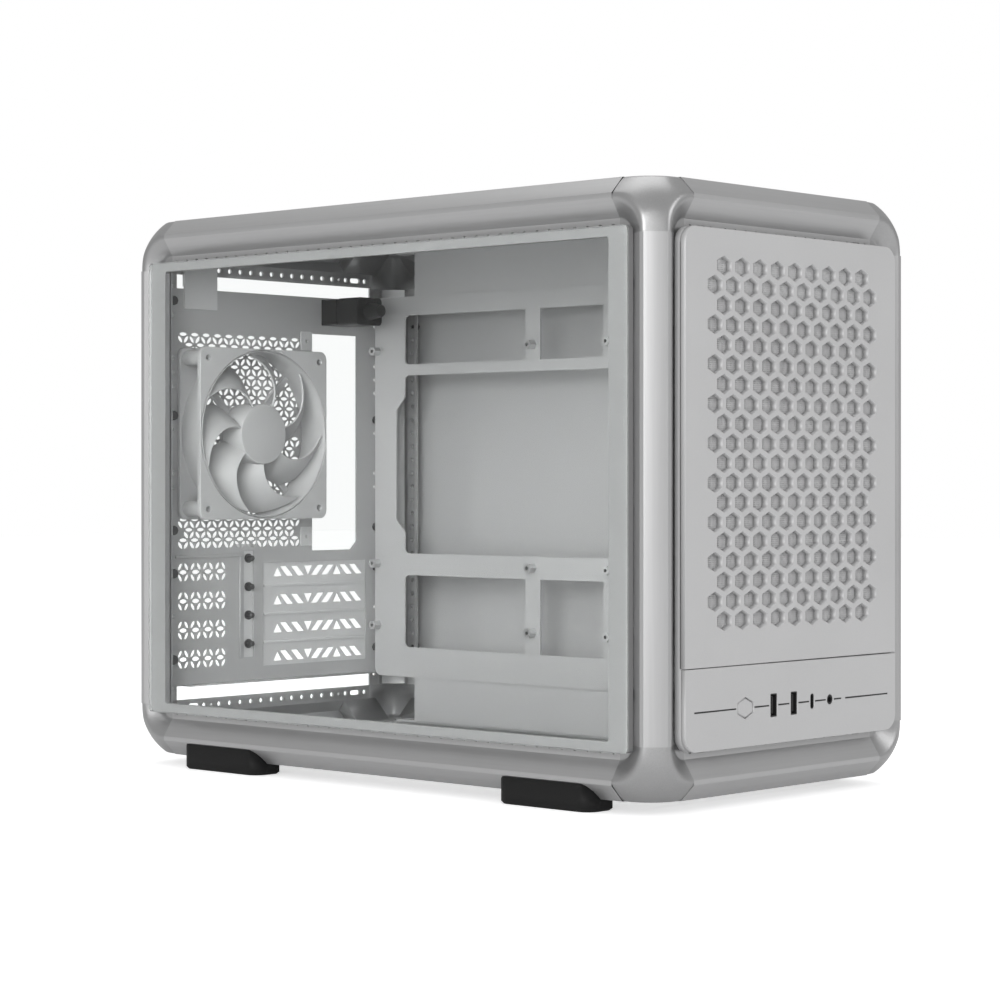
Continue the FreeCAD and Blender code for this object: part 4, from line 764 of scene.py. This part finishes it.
def make_inner_front():
    """Plate behind the front posts with large hexagons over a fine mesh."""
    holes = hexagon_rows(19, 9, (18.4, 10.5), (15.0, 10.2), 105.5)
    mesh = plate([rounded(rectangle(205.5, 214, 0, 11), 2.0)] + holes, 0, 1.0, INNER_FRONT)
    dress("front_inner_plate_vented", mesh, SHEET, replaced=("front_inner_plate",))
    net = woven(196.0, 208.0, 1.6, 0.34, 1.2, INNER_FRONT @ Matrix.Translation((0, 11, 0)))
    dress("front_inner_net", net, WIRE)


def blade_mesh(number):
    """Swept fan blade: a twisted ribbon, thickened."""
    work = bmesh.new()
    chord_steps, reach_steps = 6, 10
    root, tip = 20.8, 56.3
    back, front = 5.4, 23.2
    rows = []
    for i in range(reach_steps + 1):
        part = i / reach_steps
        reach = root + (tip - root) * part
        sweep = math.radians(360 / 7 * number + 34 * part * part)
        spread = math.radians(26 + 8 * part)
        row = []
        for j in range(chord_steps + 1):
            along = j / chord_steps
            angle = sweep + spread * (along - 0.5)
            arch = 1.4 * math.sin(math.pi * along)
            depth = back + (front - back) * along + arch
            row.append(work.verts.new((reach * math.cos(angle), reach * math.sin(angle), min(depth, front))))
        rows.append(row)
    for low, high in zip(rows, rows[1:]):
        for a, b, c, d in zip(low, low[1:], high[1:], high):
            work.faces.new((a, b, c, d))
    bmesh.ops.recalc_face_normals(work, faces=work.faces)
    bmesh.ops.solidify(work, geom=work.faces, thickness=1.1)
    mesh = bpy.data.meshes.new("blade")
    work.to_mesh(mesh)
    work.free()
    return mesh


def fan_housing(place):
    """Square housing: two flanges, a round duct with a groove about its lip, pillars, arms, motor seat."""
    flange = 3.5
    square = rounded(rectangle(FAN_SIZE, FAN_SIZE), 6.0, 6)
    corners = [(a, b) for a in (-FAN_HOLES, FAN_HOLES) for b in (-FAN_HOLES, FAN_HOLES)]
    holes = [circle(4.3, a, b, 16) for a, b in corners]
    duct = [(58, 0.4), (58.7, 0.4), (58.7, FAN_DEPTH - 0.3), (58.4, FAN_DEPTH)]
    duct += [(58, FAN_DEPTH - 0.6), (58, 0.4)]
    groove_floor = [(58.6, 22.6), (59.6, 22.6), (59.6, 23.4), (58.6, 23.4), (58.6, 22.6)]
    pillar = [(2.15, 3.4), (5.5, 3.4), (5.5, 21.6), (2.15, 21.6), (2.15, 3.4)]
    seat = [(0, 0.2), (21.0, 0.2), (21.5, 0.7), (21.5, 3.0), (0, 3.0)]
    parts = [plate([square, circle(116.4, 0, 0, 96)] + holes, 0, flange, place, 0.5),
             plate([square, circle(118.8, 0, 0, 96)] + holes, FAN_DEPTH - flange, FAN_DEPTH, place, 0.3)]
    parts += [turned(ring, place, 0, 0, 96) for ring in (duct, groove_floor)]
    parts += [turned(pillar, place, a, b, 20) for a, b in corners]
    parts.append(turned(seat, place, 0, 0, 48))
    for i in range(4):
        turn = Matrix.Rotation(math.radians(45 + 90 * i), 4, "Z")
        parts.append(plate([rectangle(38.4, 5.0, 39.6, 0)], 0.2, 3.0, place @ turn, 0.4))
    housing = merged(parts)
    soften(housing, 35)
    return housing


def make_fan():
    axis_place = side((FAN_X, REAR_Y - 1, FAN_Z), RIGHT, UP, -BACK)
    blades = merged([blade_mesh(i) for i in range(7)])
    blades.transform(axis_place)
    hub = [(0, 24.0), (19.5, 24.0), (20.9, 23.6), (21.5, 22.6), (21.5, 3.8), (19.5, 3.8), (19.5, 21), (0, 21)]
    hub = turned(hub, axis_place, 0, 0, 48)
    dress("fan_rotor_blades", merged([tidy(blades, 50), hub]), FAN, ROTOR, ("fan_rotor",))
    dress("fan_frame_moulding", fan_housing(axis_place), FAN, replaced=("fan_frame",))


def paint_nodes():
    """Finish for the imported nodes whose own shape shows."""
    rest = {
        "button_guide": PLASTIC, "port_board": BOARD, "usb_ports": PLASTIC,
        "audio_jack": PLASTIC, "left_glass_frame": BAND, "right_panel": PAINT,
        "top_panel": PAINT, "panel_studs": SCREW, "rear_top_bracket": PALE, "rear_screws": SCREW,
        "slot_channel": PALE, "slot_thumb_screws": SCREW, "fan_screws": SCREW,
        "motherboard_tray": PAINT, "tray_upper_bracket": PAINT, "tray_lower_bracket": PAINT,
        "standoffs": BRIGHT, "psu_bracket": DARK, "power_inlet": PLASTIC, "power_plug": PLASTIC,
        "top_rails": PAINT, "bottom_rails": PAINT,
    }
    for node, material in rest.items():
        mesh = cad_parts[node].data
        mesh.materials.clear()
        mesh.materials.append(material)


# Room, light and camera

def shown_level(nodes, links, cast, seen):
    """One strength for light on the object and another for what is seen straight or through glass."""
    path = nodes.new("ShaderNodeLightPath")
    either = nodes.new("ShaderNodeMath")
    either.operation = "MAXIMUM"
    links.new(path.outputs["Is Camera Ray"], either.inputs[0])
    links.new(path.outputs["Is Transmission Ray"], either.inputs[1])
    level = nodes.new("ShaderNodeMapRange")
    level.inputs["To Min"].default_value = cast
    level.inputs["To Max"].default_value = seen
    links.new(either.outputs["Value"], level.inputs["Value"])
    return level.outputs["Result"]


def make_room():
    work = bmesh.new()
    bmesh.ops.create_grid(work, x_segments=1, y_segments=1, size=6.0)
    mesh = bpy.data.meshes.new("floor")
    work.to_mesh(mesh)
    work.free()
    floor = bpy.data.objects.new("floor", mesh)
    bpy.context.scene.collection.objects.link(floor)
    paper = finish("floor_paper", grey(0.9), 0.9, 0.0, 0.0, 40, mottle=0.01)
    nodes, links = paper.node_tree.nodes, paper.node_tree.links
    shader = nodes["Principled BSDF"]
    shader.inputs["Emission Color"].default_value = (1, 1, 1, 1)
    links.new(shown_level(nodes, links, 0.1, 0.57), shader.inputs["Emission Strength"])
    mesh.materials.append(paper)
    world = bpy.data.worlds.new("studio")
    bpy.context.scene.world = world
    world.use_nodes = True
    nodes, links = world.node_tree.nodes, world.node_tree.links
    background = nodes["Background"]
    background.inputs["Color"].default_value = (1, 1, 1, 1)
    links.new(shown_level(nodes, links, 0.5, 1.0), background.inputs["Strength"])


def lamp(name, spot, size, power):
    light = bpy.data.lights.new(name, "AREA")
    light.shape = "RECTANGLE"
    light.size, light.size_y = size
    light.energy = power
    holder = bpy.data.objects.new(name, light)
    bpy.context.scene.collection.objects.link(holder)
    spot = Vector(spot)
    holder.location = spot
    holder.rotation_euler = (CENTRE * MM - spot).to_track_quat("-Z", "Y").to_euler()
    return holder


def make_lights():
    lamp("key", (0.7, -2.6, 1.3), (1.4, 1.2), 13)
    lamp("left_fill", (-2.5, -1.3, 0.8), (1.6, 1.2), 30)
    lamp("top", (0.2, 0.3, 2.4), (1.8, 1.8), 15)


def make_camera():
    """Level camera at the photograph's angle, with a long lens."""
    azimuth, distance, above = math.radians(312.55), 1787.0, 6.5
    data = bpy.data.cameras.new("camera")
    data.lens, data.sensor_width, data.sensor_fit = 96.5, 36.0, "HORIZONTAL"
    data.shift_x, data.shift_y = -0.007, -0.022
    data.clip_start, data.clip_end = 0.05, 30
    camera = bpy.data.objects.new("camera", data)
    bpy.context.scene.collection.objects.link(camera)
    back = Vector((math.sin(azimuth), -math.cos(azimuth), 0))
    camera.location = (CENTRE + back * distance + UP * above) * MM
    camera.rotation_euler = (-back).to_track_quat("-Z", "Y").to_euler()
    bpy.context.scene.camera = camera


make_frame()
make_filters()
make_front_panel()
make_button()
make_rear_panel()
make_slot_covers()
make_inner_front()
make_cross_rails()
make_glass()
make_fan()
paint_nodes()
make_room()
make_lights()
make_camera()
bpy.context.scene.view_settings.view_transform = "Standard"
